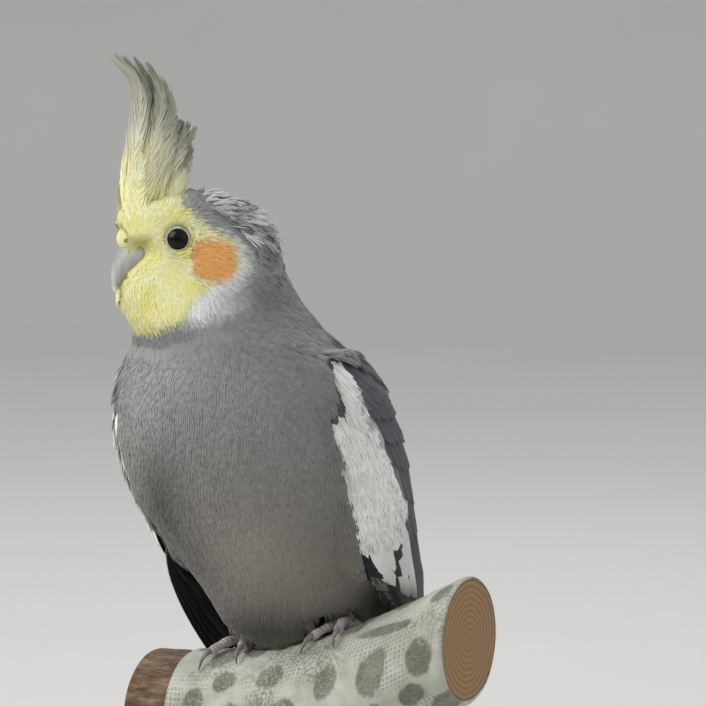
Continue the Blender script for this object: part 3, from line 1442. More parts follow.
def crest_feather(coat, order, left, number, cut=1.0):
    """A quill's curve, with strands on both sides, up to the share of its line called cut."""
    line = np.array([
        [np.interp(order, CREST_ORDER, CREST_LINES[:, place, c]) for c in range(2)]
        for place in range(6)
    ])
    grown = np.linspace(0, 1, 6)
    line[:, 0] += chance.normal(0, 0.5) + chance.normal(0, 0.7) * grown**2
    reach = (1 - 0.42 * chance.random() ** (4 if order < 0.2 else 1.7)) * cut
    lefts = left * (1 - 0.55 * grown) + chance.normal(0, 0.9) * grown**2
    knots = on_head(lefts, line[:, 0], line[:, 1])
    turn = chance.normal(0, 0.5)
    in_plane = head_ahead * math.cos(turn) + head_left * math.sin(turn)
    starts = np.repeat(np.linspace(0.01, 0.93, STRANDS), 2)
    starts = starts + chance.uniform(-0.01, 0.01, 2 * STRANDS)
    hands = np.tile([-1, 1], STRANDS)[:, None]
    steps = np.array([0, 0.33, 0.66, 1.0])
    long = STRAND_LENGTH * chance.uniform(0.7, 1.15, 2 * STRANDS) * (1 - 0.45 * starts)
    at = np.clip((starts[:, None] + steps * long[:, None]) * reach, 0, 1)
    out = STRAND_SPREAD * (1 - starts**1.8)[:, None] * np.clip(starts * 5 + 0.6, 0, 1)[:, None]
    out = out * hands * (1 - (1 - steps) ** 1.7) * chance.uniform(0.6, 1.25, (2 * STRANDS, 1))
    spine = smooth_path(knots, at.ravel()).reshape(*at.shape, 3)
    ahead = smooth_path(knots, np.clip(at + 0.02, 0, 1.02).ravel()).reshape(*at.shape, 3)
    ahead = unit(ahead - smooth_path(knots, (at - 0.02).ravel()).reshape(*at.shape, 3))
    side = unit(in_plane - ahead * (ahead @ in_plane)[..., None])
    facing = np.cross(side, ahead)
    sway = chance.normal(0, 0.3, (2 * STRANDS, 1)) * steps
    spine = spine + (side * out[..., None] + facing * sway[..., None]) * MM
    across = np.sign(left) * head_left
    agree = np.sign(facing.mean(1) @ across)[:, None, None]  # turns every ribbon to face outwards
    half = agree * (STRAND_HALF_WIDTH * (1 - 0.62 * steps) * MM)[None, :, None]
    round_out = across - head_ahead * (order - 0.45) * 1.1 + 0.12 * UP
    shade = in_pairs(unit(0.18 * facing * agree + 0.82 * round_out))
    pairs = np.stack([spine - side * half, spine + side * half], 2)
    places = np.concatenate([pairs[:, :3].reshape(2 * STRANDS, 6, 3), spine[:, 3:]], 1)
    level = in_pairs(at)
    yellow = 0.75 - 0.5 * ease(level, 0.05, 0.62)
    full = np.zeros_like(level)
    tone = (1.25 - 0.6 * ease(level, 0.1, 0.9)) * chance.normal(1, 0.06, (2 * STRANDS, 1))
    tone = tone * chance.normal(1, 0.03)
    marks = np.stack([yellow, full, 0.7 - 0.4 * level], -1)
    feel = np.stack([full, full + tone, full + 0.85], -1)
    corner = np.array([(-1, -1), (1, -1), (-1, 0), (1, 0), (-1, 0.6), (1, 0.6), (0, 1)])
    column = (number + 0.5) / (CREST_FEATHERS + SHORT_ONES)
    spot = np.stack([column + hands[:, 0] * PATCH, EDGE + (1 - 2 * EDGE) * starts], 1)
    maps = np.clip(spot[:, None] + corner * PATCH / 2, 0, 1)
    coat.add(places, BLADE_FACES, maps, marks, feel, normals=shade)


coat = Coat()
for number, order in enumerate(np.sort(chance.random(CREST_FEATHERS))):
    crest_feather(coat, order, chance.normal(0, 1.7), number)
for number in range(SHORT_ONES):
    crest_feather(coat, chance.random(), chance.normal(0, 2.6), CREST_FEATHERS + number,
                  chance.uniform(0.26, 0.62))
coat.build("crest_feathers", coat_material, "crest_plumage", "crest")

# %% [markdown]
# ## Feathers of the folded wings
#
# A flight feather is a long closed blade, thin at its edges, with a raised quill along its
# middle. A covert is a short rounded vane. Both are bent over the map of the folded wing, so
# a row of them lies like tiles, each with its front edge over its neighbour.


# %% Blades, and feathers laid down a wing
def blade(tip, point, columns=9, rows=20, thick=0.035):
    """A closed thin blade. It closes from tip on, and a larger point makes its end slimmer."""
    arch = 0.09  # height of the middle over the edges, as a share of the width
    sides = np.linspace(-1, 1, columns)
    top, under = [], []
    for along in 1 - (1 - np.linspace(0, 1, rows)) ** 1.3:
        wide = 0.3 + 0.7 * math.sin(min(along / 0.16, 1) * math.pi / 2)
        close = max(along - tip, 0) / (1 - tip)
        wide *= max(1 - close**2, 0) ** point
        for side in sides:
            quill = 0.025 * (abs(side) < 0.1) * (1 - along)
            raised = arch * (1 - side**2) - arch + quill
            lowered = raised - thick * (1 - side**2) - quill
            top.append((side * wide, along - 0.012 * side**2, raised))
            under.append((side * wide, along - 0.012 * side**2, lowered))
    points, faces = top + under, []
    shift = len(top)
    for row in range(rows - 1):
        for column in range(columns - 1):
            a = row * columns + column
            b, c, d = a + 1, a + columns + 1, a + columns
            faces += [(a, b, c), (a, c, d)]
            faces += [(a + shift, c + shift, b + shift), (a + shift, d + shift, c + shift)]
    return np.array(points), np.array(faces), np.zeros(len(points), int)


def over_skin(points, gap, height):
    """Raises points that the skin would bury, to their own gap over it in millimetres."""
    place, normal, distance = nearest(skin_tree, points)
    over = np.einsum("...i,...i", points - place, normal) / MM
    lift = np.clip(gap - over, 0, 4) * (distance < 5 * MM) * ease(height, 6, 10)
    return points + normal * (lift * MM)[..., None]


SLOPE = 0.87  # a millimetre down the folded wing is this much lower
FRAY = 0.03  # how far a vane's edge is nicked
FRONT_STANDS = {1: -0.9, -1: 0.7}  # of the front edge: tucked in on the left, off on the right


def lay(coat, wing, template, height, share, length, width, slant, low, high, dark, tone,
        white=0.0, tile=0.14, fringe=0.0, strips=0, held=True):
    """Lays feathers down a folded wing from the heights and shares of their roots. low and high
    are how far root and tip lie over the wing. white and dark are numbers for every feather, or
    functions of height and share at every vertex. held feathers stay over the skin."""
    shape, faces, _ = template
    count = len(height)
    rows = [np.broadcast_to(np.asarray(x, float), count)[:, None]
            for x in (height, share, length, width, slant, low, high, tone, tile)]
    height, share, length, width, slant, low, high, tone, tile = rows
    across, along, raised = shape.T
    length = length * chance.uniform(0.97, 1.03, (count, 1))
    nick = 1 - FRAY * chance.random((count, len(shape))) ** 3 * (np.abs(across) > 0.8)
    down = height - along * length * SLOPE
    arc = np.interp(down, wing.heights, wing.arc)
    over = share + slant * along + across * nick * width / 2 / arc
    surface, normal = wing.at(down, over)
    rise = low + (high - low) * np.maximum(along, 0) ** 0.8 + (raised - tile * across / 2) * width
    rise = rise + chance.normal(0, 0.05, (count, 1))
    stand = FRONT_STANDS[wing.hand] * (down < 64)
    rise = rise + stand * np.exp(-((over / 0.09) ** 2)) * np.clip(along, 0, 1)
    places = surface + normal * (rise * MM)[..., None]
    if held:
        places = over_skin(places, 0.1 + 0.5 * np.maximum(rise - low, 0), down)
    places = clear_of_branch(places)
    white, dark = (
        x(down, over) if callable(x) else np.broadcast_to(np.asarray(x, float), count)[:, None]
        for x in (white, dark)
    )
    edge = np.abs(across) ** 4 + along**6
    tone = tone * chance.normal(1, 0.04, (count, 1)) * (1 + fringe * edge)
    full = np.zeros((count, len(shape)))
    marks = np.stack([full, full, full + white], -1)
    shaded = 0.5 + 0.5 * along
    feel = np.stack([full + dark, full + tone, shaded + white * (0.92 - shaded)], -1)
    lines = np.stack([across * width, along * length, full + edge], -1)
    if strips:
        number = np.arange(count)[:, None] + coat.strip
        coat.strip += count
        maps = np.stack([(number + 0.5 + 0.42 * across) / strips, full + 0.02 + 0.96 * along], -1)
    else:
        maps = patches(wing.at(height[:, 0], share[:, 0])[0], shape)
    if wing.hand < 0:
        faces = faces[:, ::-1]
    coat.add(places, faces, maps, marks, feel, lines)


# %% Flight feathers
primary = blade(tip=0.62, point=0.9)
secondary = blade(tip=0.84, point=0.45)
tertial = blade(columns=11, tip=0.7, point=0.6)
PRIMARIES, SECONDARIES, TERTIALS, HANGING = 10, 12, 4, 5
SECONDARY_LENGTHS = np.array([27, 35, 31, 36, 40, 44, 47, 50, 52, 54, 56, 57])
WHITE_ONES = np.array([  # height and share of root and of tip, width, whiteness, grey of the tip
    (47, 0.03, 27, 0.045, 9, 1, 0), (49, 0.09, 21, 0.085, 9, 1, 0),
    (49, 0.16, 18.5, 0.105, 9, 1, 0), (49, 0.23, 21.5, 0.15, 9, 1, 0),
    (49, 0.3, 28, 0.22, 9, 1, 0), (47, 0.36, 35, 0.3, 8, 1, 0),
    (49, 0.46, 12, 0.24, 9, 0.9, 1), (42, 0.4, 14, 0.17, 8, 0.85, 1),
])
WING_STRIPS = PRIMARIES + HANGING + SECONDARIES + TERTIALS + len(WHITE_ONES)

for side, wing in wings.items():
    coat = Coat()
    number = np.arange(PRIMARIES)
    lay(coat, wing, primary, 40 - number * 0.8, -0.02 + 0.02 * number, 110 - 5.5 * number, 9.5,
        slant=0.36 + 0.02 * number, low=-1.5 + 0.07 * number, high=-0.3 + 0.08 * number,
        dark=1.0, tone=0.42, strips=WING_STRIPS)
    if side == "right":  # its longest feathers hang a little away from the belly
        number = np.arange(HANGING)
        lay(coat, wing, primary, 27 - 0.3 * number, -0.02 + 0.04 * number, 46 - 1.5 * number, 8,
            slant=0.03, low=-1.2, high=9.5 - 1.1 * number, dark=1.0, tone=0.45,
            strips=WING_STRIPS, held=False)
    number = np.arange(SECONDARIES)
    lay(coat, wing, secondary, np.full(SECONDARIES, 46), 0.05 + 0.058 * number,
        SECONDARY_LENGTHS, 9.5, slant=0.02 + 0.012 * number, low=-0.9, high=0.1 + 0.02 * number,
        dark=0.95, tone=0.38 + 0.04 * number, strips=WING_STRIPS)
    root, start, end, finish, wide, pale, grey = WHITE_ONES.T
    lay(coat, wing, secondary, root, start, (root - end) / SLOPE, wide, slant=finish - start,
        low=-0.6, high=0.45 + 0.03 * np.arange(len(root)), white=pale, tone=0.98, tile=0.06,
        dark=lambda height, _: grey[:, None] * (0.75 - 0.75 * ease(height, 13, 20)),
        strips=WING_STRIPS)
    number = np.arange(TERTIALS)
    lay(coat, wing, tertial, 54 + 2 * number, 0.66 + 0.085 * number, 74 - 9 * number, 15,
        slant=0.05, low=-0.6, high=0.9 + 0.15 * number, dark=0.62, tone=0.92, fringe=0.2,
        strips=WING_STRIPS)
    coat.build(f"flight_feathers_{side}", flight_material, "wing_plumage")

# %% Coverts
greater, median, lesser = (
    rounded_vane(9, 11, 0.72), rounded_vane(7, 8, 0.66), rounded_vane(5, 6, 0.6)
)
COVERT_ROWS = (  # template, height, how many, length, width and lift
    (greater, 49, 17, 22, 9.5, 0.45), (greater, 58, 18, 20, 8.5, 0.6),
    (median, 64, 21, 15, 7.4, 0.7), (median, 69, 23, 12, 6.4, 0.75),
)
LESSER_ROWS = 7
COVERT_SHOWN_AT = 0.62  # the part of a covert's length at which it shows


def covert_row(coat, wing, template, height, amount, length, width, lift, span=(0.02, 0.98)):
    """One row of coverts across the wing, coloured by where each of them shows."""
    share = np.linspace(*span, amount) + chance.normal(0, 0.006, amount)
    drop = COVERT_SHOWN_AT * length * SLOPE
    height = height + chance.normal(0, 0.6 + 1.2 * white_patch(height - drop, share), amount)
    shown = height - drop
    white = white_patch(shown, share + chance.normal(0, 0.012, amount))
    back = ease(share, 0.55, 0.95)
    lay(coat, wing, template, height, share, length, width, slant=0.02, low=-0.8,
        high=lift * (1 - 0.6 * back) - 0.3 * white, white=white,
        dark=wing_dark(shown, share) * (1 - white), tone=1 + 0.05 * back - 0.04 * white,
        fringe=0.14 * (1 - white)[:, None], tile=0.12 - 0.09 * white - 0.06 * back)


for side, wing in wings.items():
    coat = Coat()
    for row in COVERT_ROWS:
        covert_row(coat, wing, *row)
    for step in range(LESSER_ROWS):
        end = 1.0 - 0.15 * max(step - 2, 0)
        covert_row(coat, wing, lesser, 73 + 1.5 * step, round(27 * end), 8.5 - 0.4 * step,
                   5.6 - 0.15 * step, 0.8 - 0.1 * step, (0.0, end))
    coat.build(f"coverts_{side}", flight_material, "wing_plumage", f"wing_{side}")

# %% Soft white feathers over the coverts
DOWN_LENGTH, DOWN_WIDTH, DOWN_LIFT, DOWN_SPACING = 8, 2.6, 1.9, 1.0
for side, wing in wings.items():
    own = (middle_of[:, 0] * wing.hand > 0) & (tri_wing > 0.5)
    own &= (tri_height > 34) & (tri_share > 0.045) & (white_patch(tri_height, tri_share) > 0.3)
    places, normals, on_wing = roots_where(own, DOWN_SPACING)
    lie = lie_of(places, normals, 0.08)
    clear = white_patch(*wing.place(places + lie * (7 * MM))) > 0.5
    places, normals, on_wing, lie = kept(clear, places, normals, on_wing, lie)
    coat = Coat()
    grow(coat, fan(5), (places, normals), lie, DOWN_LENGTH, DOWN_WIDTH, DOWN_LIFT, on_wing,
         ruffle=0.12, loose=0.08, soft=0.93)
    coat.build(f"white_down_{side}", coat_material, "wing_plumage")

# %% [markdown]
# ## Tail
#
# Twelve long feathers, the middle pair longest and pointed, each pair lying under the last.
# Seen from above the middle pair is grey; the others are nearly black. Short coverts hide
# where they enter the body.

# %% Tail feathers
ACROSS = np.array([1.0, 0, 0])
TAIL_ROOT = BIRD + np.array([0, 36, 8]) * MM
TAIL_SLOPE = math.radians(65)
TAIL_LENGTH, TAIL_WIDTH, TAIL_PAIRS = 150, 12.5, 6
TAIL_STRIPS = 36  # of the unwrap, enough for every feather of the tail
UPPER_COVERTS = ((-9, 48, 11), (-12, 36, 11), (-14, 26, 10))  # place, length and width of a row
UNDER_COVERTS = ((-6, 42, 11), (-8, 28, 11))
tail_ahead = np.array([0, math.cos(TAIL_SLOPE), -math.sin(TAIL_SLOPE)])
tail_above = np.array([0, math.sin(TAIL_SLOPE), math.cos(TAIL_SLOPE)])


def flat_feather(coat, template, root, ahead, above, length, width, dark, tone):
    """Adds one flat feather in its own frame; its length and width are in millimetres."""
    shape, faces, _ = template
    across, along, raised = shape.T
    above = upright(above, ahead)
    side = np.cross(ahead, above)
    nick = 1 - 0.05 * chance.random(len(shape)) ** 3 * (np.abs(across) > 0.8)
    places = (
        root
        + ahead * (along * length * MM)[:, None]
        + side * (across * nick * width / 2 * MM)[:, None]
        + above * (raised * width * MM)[:, None]
    )
    full = np.zeros(len(shape))
    edge = np.abs(across) ** 4
    tone = tone * chance.normal(1, 0.03) * (1 + 0.1 * edge)
    feel = np.stack([full + dark, full + tone, 0.5 + 0.5 * along], 1)
    lines = np.stack([across * width, along * length, edge], 1)
    maps = np.stack([(coat.strip + 0.5 + 0.42 * across) / TAIL_STRIPS, 0.02 + 0.96 * along], 1)
    coat.strip += 1
    coat.add(places[None], faces, maps, np.stack([full] * 3, 1), feel, lines)


coat = Coat()
pointed = blade(rows=26, tip=0.5, point=0.75, thick=0.04)
rounded_end = blade(rows=24, tip=0.8, point=0.6, thick=0.04)
for pair in range(TAIL_PAIRS):
    outer, first = pair / (TAIL_PAIRS - 1), pair == 0
    for hand in (-1, 1):
        fan_out = hand * (0.25 + 2.6 * outer) * math.pi / 180
        ahead = tail_ahead * math.cos(fan_out) + ACROSS * math.sin(fan_out)
        root = TAIL_ROOT + ACROSS * hand * (1.0 + 0.5 * pair) * MM
        root = root - tail_above * ((1.0 * pair + 0.25 * (hand > 0)) * MM)
        tilt = unit(tail_above + ACROSS * hand * (0.05 + 0.02 * pair))
        flat_feather(coat, pointed if pair < 2 else rounded_end, root, ahead, tilt,
                     TAIL_LENGTH * (1 - 0.42 * outer**1.4), TAIL_WIDTH * (0.85 if first else 1),
                     dark=0.45 if first else 0.95, tone=0.95 if first else 0.6)
for row, (start, length, width) in enumerate(UPPER_COVERTS):
    for place in np.linspace(-1, 1, 4 + (row > 0)):
        ahead = unit(tail_ahead + place * 0.06 * ACROSS)
        tilt = unit(tail_above + place * 0.25 * ACROSS)
        root = TAIL_ROOT + (ahead * start + tail_above * (1.0 + 0.6 * row - 0.9 * place**2)) * MM
        length = length * chance.uniform(0.9, 1.08)  # each differs a little from the last one
        flat_feather(coat, pointed, root + place * 5.0 * ACROSS * MM, ahead, tilt, length, width,
                     dark=0.2, tone=0.95)
for row, (start, length, width) in enumerate(UNDER_COVERTS):
    for place in np.linspace(-1, 1, 4):
        ahead = unit(tail_ahead + place * 0.05 * ACROSS)
        under = unit(-tail_above + place * 0.25 * ACROSS)
        root = TAIL_ROOT + (ahead * start - tail_above * (6.6 + row - 1.2 * place**2)) * MM
        flat_feather(coat, rounded_end, root + place * 5.5 * ACROSS * MM, ahead, under, length,
                     width, dark=0.9, tone=0.6)
coat.build("tail_feathers", flight_material, "tail_plumage", "tail")

# %% [markdown]
# ## Feet
#
# A cockatiel's foot grips with two toes in front and two behind. Toes, palm and shank are
# swept tubes, melted into one skin by a voxel remesh. Across the top of every toe run scutes,
# pressed into the mesh as grooves.

# %% The branch's line, and places round it
PERCH_RADIUS = 18
PERCH_RISE, PERCH_KNEE, PERCH_BEND = 0.54, 9, 26  # its slope past the knee, and the knee's length
PERCH_DROP = 0.8  # how far its top lies under the bird's origin


def perch_height(s):
    """Height of the branch's top over the bird's origin at s along it, in millimetres."""
    def rise(x):
        return PERCH_RISE / 2 * (x + np.hypot(x, PERCH_BEND))
    return rise(np.asarray(s, float) - PERCH_KNEE) - rise(-PERCH_KNEE) - PERCH_DROP


def on_perch(s, degrees, lift):
    """A point lift millimetres over the branch, degrees forwards of its top."""
    turn, reach = np.radians(degrees), PERCH_RADIUS + np.asarray(lift, float)
    s, turn, reach = np.broadcast_arrays(np.asarray(s, float), turn, reach)
    height = perch_height(s) - PERCH_RADIUS + reach * np.cos(turn)
    return BIRD + np.stack([s, -reach * np.sin(turn), height], -1) * MM


# %% Toes and shank of a foot
FOOT_PLACES = {"left": 19, "right": -13}
FOOT_BACK, TOE_RADIUS, TOE_VOXEL = 13, 1.5, 0.27
TOES = {  # degrees round the branch at root and end, and splay
    "inner_front": (-8, 18, -4.6),
    "outer_front": (-8, 24, 4.4),
    "outer_rear": (-18, -54, 4.4),
    "inner_rear": (-18, -46, -4.2),
}
PALM_HALF_WIDTHS, PALM_HALF_HEIGHT = (2.2, 3.1, 3.5, 3.1, 2.2), 1.6
SHANK = ((-FOOT_BACK, 2.0), (-FOOT_BACK, 7), (-4, 12), (0, 17))  # degrees and lift, going up
SHANK_RINGS, SHANK_HALF_WIDTH, SHANK_HALF_DEPTH = 8, 2.2, 2.3


def toe_path(side, root, end, splay, amount):
    """Points along a toe, which lies on the branch and turns outwards by its splay."""
    share = np.array([0, 0.3, 0.65, 1])
    s = FOOT_PLACES[side] + HANDS[side] * splay * (0.25 + 0.75 * share)
    knots = on_perch(s, root + (end - root) * share, TOE_RADIUS + 0.25 + 0.6 * (1 - share))
    return smooth_path(knots, np.linspace(0, 1, amount))


def foot_tubes(side):
    """The tubes of a foot, and finely divided lines along its toes and its shank."""
    tubes, lines = [], []
    for name, (root, end, splay) in TOES.items():
        path = toe_path(side, root, end, splay, 15)
        share = np.linspace(0, 1, len(path))
        thick = TOE_RADIUS * (1.02 - 0.2 * share + 0.09 * np.cos(14 * share))
        tubes.append(swept(name, tube_rings(path, ACROSS, thick, thick * 0.95)))
        lines.append(toe_path(side, root, end, splay, 60))
    s, rings = FOOT_PLACES[side], len(PALM_HALF_WIDTHS)
    palm = on_perch(s, np.linspace(-FOOT_BACK - 9, 9 - FOOT_BACK, rings), 2.1)
    heights = (PALM_HALF_HEIGHT,) * rings
    tubes.append(swept("palm", tube_rings(palm, ACROSS, PALM_HALF_WIDTHS, heights)))
    knots = np.array([on_perch(s, degrees, lift) for degrees, lift in SHANK])
    path = smooth_path(knots, np.linspace(0, 1, SHANK_RINGS))
    wide, deep = (SHANK_HALF_WIDTH,) * SHANK_RINGS, (SHANK_HALF_DEPTH,) * SHANK_RINGS
    tubes.append(swept("shank", tube_rings(path, ACROSS, wide, deep)))
    lines.append(smooth_path(knots, np.linspace(0, 1, 40)))
    return tubes, lines


# %% Scutes, and the whole foot
SCUTE_LENGTH, SCUTE_HEIGHT, GROOVE_DEPTH = 1.35, 0.13, 0.12
AT_ONCE = 4000  # points compared in one go, to spare memory


def nearest_numbers(points, spots):
    """The number of the spot nearest to each point."""
    return np.concatenate([
        np.argmin(((points[i : i + AT_ONCE, None] - spots[None]) ** 2).sum(-1), axis=1)
        for i in range(0, len(points), AT_ONCE)
    ])


def press_scutes(piece, lines):
    """Presses grooves between scutes across the tops of toes and shank."""
    points, spots = mesh_points(piece), np.concatenate(lines)
    steps = (np.linalg.norm(np.diff(line, axis=0), axis=1) for line in lines)
    run = np.concatenate([np.cumsum(np.r_[0, step]) for step in steps])
    number = nearest_numbers(points, spots)
    outwards = unit(points - on_perch(points[:, 0] / MM, 0, -PERCH_RADIUS))
    facing = np.einsum("nd,nd->n", unit(points - spots[number]), outwards)
    topside = ease(facing, -0.1, 0.5)
    scute = np.abs(np.sin(run[number] / MM * math.pi / SCUTE_LENGTH)) ** 0.5
    groove = (1 - scute) * topside
    raised = ((SCUTE_HEIGHT * topside * scute - GROOVE_DEPTH * groove) * MM)[:, None]
    reshape(piece, lambda points, normals: points + normals * raised)
    note(piece, "hollow", 0.75 * ease(groove, 0.25, 0.8))


def foot(side):
    """Toes, palm and shank as one skin, with scutes."""
    tubes, lines = foot_tubes(side)
    only(*tubes)
    bpy.ops.object.join()
    piece = bpy.context.object
    piece.name = f"foot_{side}"
    modify(piece, "REMESH", mode="VOXEL", voxel_size=TOE_VOXEL * MM)
    modify(piece, "SMOOTH", factor=0.5, iterations=5)
    press_scutes(piece, lines)
    bpy.ops.object.shade_smooth()
    return piece


# %% Claws, and both feet in place
CLAW_LENGTH, CLAW_RINGS = 6.5, 9


def claw(side, root, end, splay):
    """A hooked claw from a toe's end down to the branch."""
    way, outwards = np.sign(end - root), HANDS[side] * splay
    s, lean = FOOT_PLACES[side] + outwards, outwards * 0.16
    turn = math.degrees(CLAW_LENGTH / PERCH_RADIUS) * way
    knots = np.array([
        on_perch(s, end - 2.5 * way, TOE_RADIUS + 0.5),
        on_perch(s + 0.5 * lean, end + 0.34 * turn, TOE_RADIUS + 1.0),
        on_perch(s + lean, end + 0.66 * turn, TOE_RADIUS + 0.5),
        on_perch(s + 1.7 * lean, end + 0.95 * turn, 0.5),
    ])
    share = np.linspace(0, 1, CLAW_RINGS)
    path, thick = smooth_path(knots, share), 0.12 + 0.95 * (1 - share) ** 0.75
    return finer(swept("claw", tube_rings(path, ACROSS, thick * 0.85, thick, 8)))


foot_material = bare_skin("skin_of_feet", colour(204, 194, 196), colour(176, 166, 170),
                          colour(122, 112, 116), 1100, 0.6, 0.12)
claw_material = horn(
    "horn_of_claws", colour(138, 132, 130), colour(172, 166, 162), colour(66, 60, 60)
)
for side, hand in HANDS.items():
    dressed(foot(side), foot_material, "foot_skin", f"leg_{side}")
    for name, (root, end, splay) in TOES.items():
        piece = claw(side, root, end, splay)
        piece.name = f"claw_{side}_{name}_horn"
        toe_end = on_perch(FOOT_PLACES[side] + hand * splay, end, 0)
        gap = np.linalg.norm(mesh_points(piece) - toe_end, axis=1) / MM
        note(piece, "pale", ease(gap, 3.5, 6.5) * 0.8)
        dressed(piece, claw_material, "claw_horn", f"claw_{side}_{name}")

# %% [markdown]
# ## The bandaged branch
#
# The bird grips a branch as thick as a wrist, wound with pale cohesive bandage so that it
# gives the feet hold. The bandage is stuck to the wood, so both are one sweep. A step marks
# where the cloth begins, grey-olive ovals and flecks are printed on it, and its open weave
# shows in places.

# %% Shape of the branch
CLOTH_START, CLOTH_THICKNESS = -27.0, 0.7
EDGES = ((7, -0.22), (29, 0.16), (50, -0.12))  # where windings end, and their slant
CUT_END = (0.4, 6, 11, 15, 16.6)  # radii of the rings across a cut end
stations = np.concatenate([
    [-41.5] * len(CUT_END), [-41.3, -40.8], np.linspace(-39, 57, 49), [59, 59.3],
    [59.5] * len(CUT_END),
])
radii = np.concatenate([CUT_END, [17.2, 17.6], [17.8] * 49, [17.5, 17.1], CUT_END[::-1]])
degrees = np.arange(48) * 360 / 48
perch = swept("bandaged_branch", [
    on_perch(s, degrees, radius - PERCH_RADIUS - 0.25) for s, radius in zip(stations, radii)
])
edit_all(perch, bpy.ops.mesh.subdivide, number_cuts=3, smoothness=1.0)


def round_perch(points):
    """Place along the branch, degrees forwards of its top, and distance from its middle."""
    away = (points - BIRD) / MM
    over = away[:, 2] - (perch_height(away[:, 0]) - PERCH_RADIUS)
    return away[:, 0], np.degrees(np.arctan2(-away[:, 1], over)), np.hypot(away[:, 1], over)


def past_cloth_edge(s, degrees):
    """How far places are past the slanting edge where the cloth begins, in millimetres."""
    return s - CLOTH_START + 0.1 * degrees / 20


def ripple(s, degrees, waves):
    """A soft unevenness in [-1, 1] from a few turned waves."""
    turn = np.radians(degrees)
    total = sum(
        math.cos(0.7 * number) * np.sin(along * s + around * turn + start)
        for number, (along, around, start) in enumerate(waves)
    )
    return total / len(waves)


LUMPS = ((0.09, 2, 0.4), (0.17, -3, 1.3), (0.31, 1, 2.2), (0.23, 4, 0.9))
FOLDS = ((1.1, 3, 0.3), (0.8, -5, 1.9), (1.7, 7, 0.2), (0.5, 9, 2.6), (2.3, -4, 1.1))


def perch_shape(points, normals):
    """Raises the cloth and the ends of its windings, and wrinkles it but for the feet's grip."""
    s, degrees, radius = round_perch(points)
    side = ease(radius, 15.5, 17)
    fold = 0.35 * ripple(s, degrees, LUMPS) + 0.16 * ripple(s, degrees, FOLDS)
    step = CLOTH_THICKNESS * ease(past_cloth_edge(s, degrees), -0.25, 0.25)
    for start, slant in EDGES:
        past = s - start - slant * PERCH_RADIUS * np.sin(np.radians(degrees))
        step = step + 0.34 * ease(past, -0.3, 0.3) * np.exp(-np.maximum(past, 0) / 9)
    grip = sum(np.exp(-(((s - place) / 9) ** 2)) for place in FOOT_PLACES.values())
    calm = 1 - 0.7 * np.minimum(grip, 1) * (np.abs(degrees) < 80)
    return points + normals * ((fold * calm - 0.45 + step) * side * MM)[:, None]


reshape(perch, perch_shape)
bpy.ops.object.shade_smooth_by_angle(angle=math.radians(50))

# %% Printed ovals, flecks and weave
OVALS = [  # along, degrees, half length along, half width round, turn in degrees
    (38.7, 83, 4.6, 6.6, 8), (53.2, 88, 4.0, 5.6, -12), (40.5, 45, 9.5, 1.9, 12),
    (50, 119, 4.2, 3.6, 20), (24, 74, 3.6, 5.0, 0), (5.5, 54, 4.4, 3.6, 10),
    (-9.5, 54, 3.8, 3.2, -14), (11, 92, 5, 4.4, 18), (-6, 92, 4.6, 5.4, -8),
    (-18, 74, 3.4, 4.6, 4), (26, 118, 5.4, 4.2, -20), (56, 30, 3.2, 3.6, 0),
]
MOST_OVALS, OVAL_TRIES, OVAL_GAP = 65, 900, 10.2


def turn_between(degrees, other):
    """Degrees from one place round the branch to another, from -180 to 180."""
    return (degrees - other + 180) % 360 - 180


for _ in range(OVAL_TRIES):
    if len(OVALS) == MOST_OVALS:
        break
    s, degrees = chance.uniform(-23, 59), chance.uniform(120, 395)
    if all(math.hypot(s - o[0], turn_between(degrees, o[1]) * 0.31) > OVAL_GAP for o in OVALS):
        size = chance.uniform(3.4, 5), chance.uniform(3.6, 6)
        OVALS.append((s, degrees, *size, chance.uniform(-25, 25)))
print("printed ovals:", len(OVALS))
s, degrees, radius = round_perch(mesh_points(perch))
wander = 0.16 * ripple(s, degrees, FOLDS) + 0.12 * ripple(3 * s, 4 * degrees, FOLDS)
spot = np.zeros(len(s))
for along, around, half_long, half_wide, turn in OVALS:
    ds, dd = s - along, turn_between(degrees, around) * math.radians(PERCH_RADIUS)
    cos, sin = math.cos(math.radians(turn)), math.sin(math.radians(turn))
    far = np.hypot((ds * cos + dd * sin) / half_long, (dd * cos - ds * sin) / half_wide)
    spot = np.maximum(spot, 1 - ease(far + wander, 0.86, 1.08))
cloth = ease(past_cloth_edge(s, degrees), -0.2, 0.2) * ease(radius, 16.4, 17)
in_middle = 0.9 - ease(np.abs(s - 6), 18, 34)
note(perch, "spot", spot * cloth)
note(perch, "cloth", cloth)
note(perch, "flecked", np.clip(in_middle + 0.8 * (ripple(s, degrees, LUMPS) > 0.3), 0, 1))
note(perch, "thread", np.stack([s, np.radians(degrees) * PERCH_RADIUS, radius], 1))


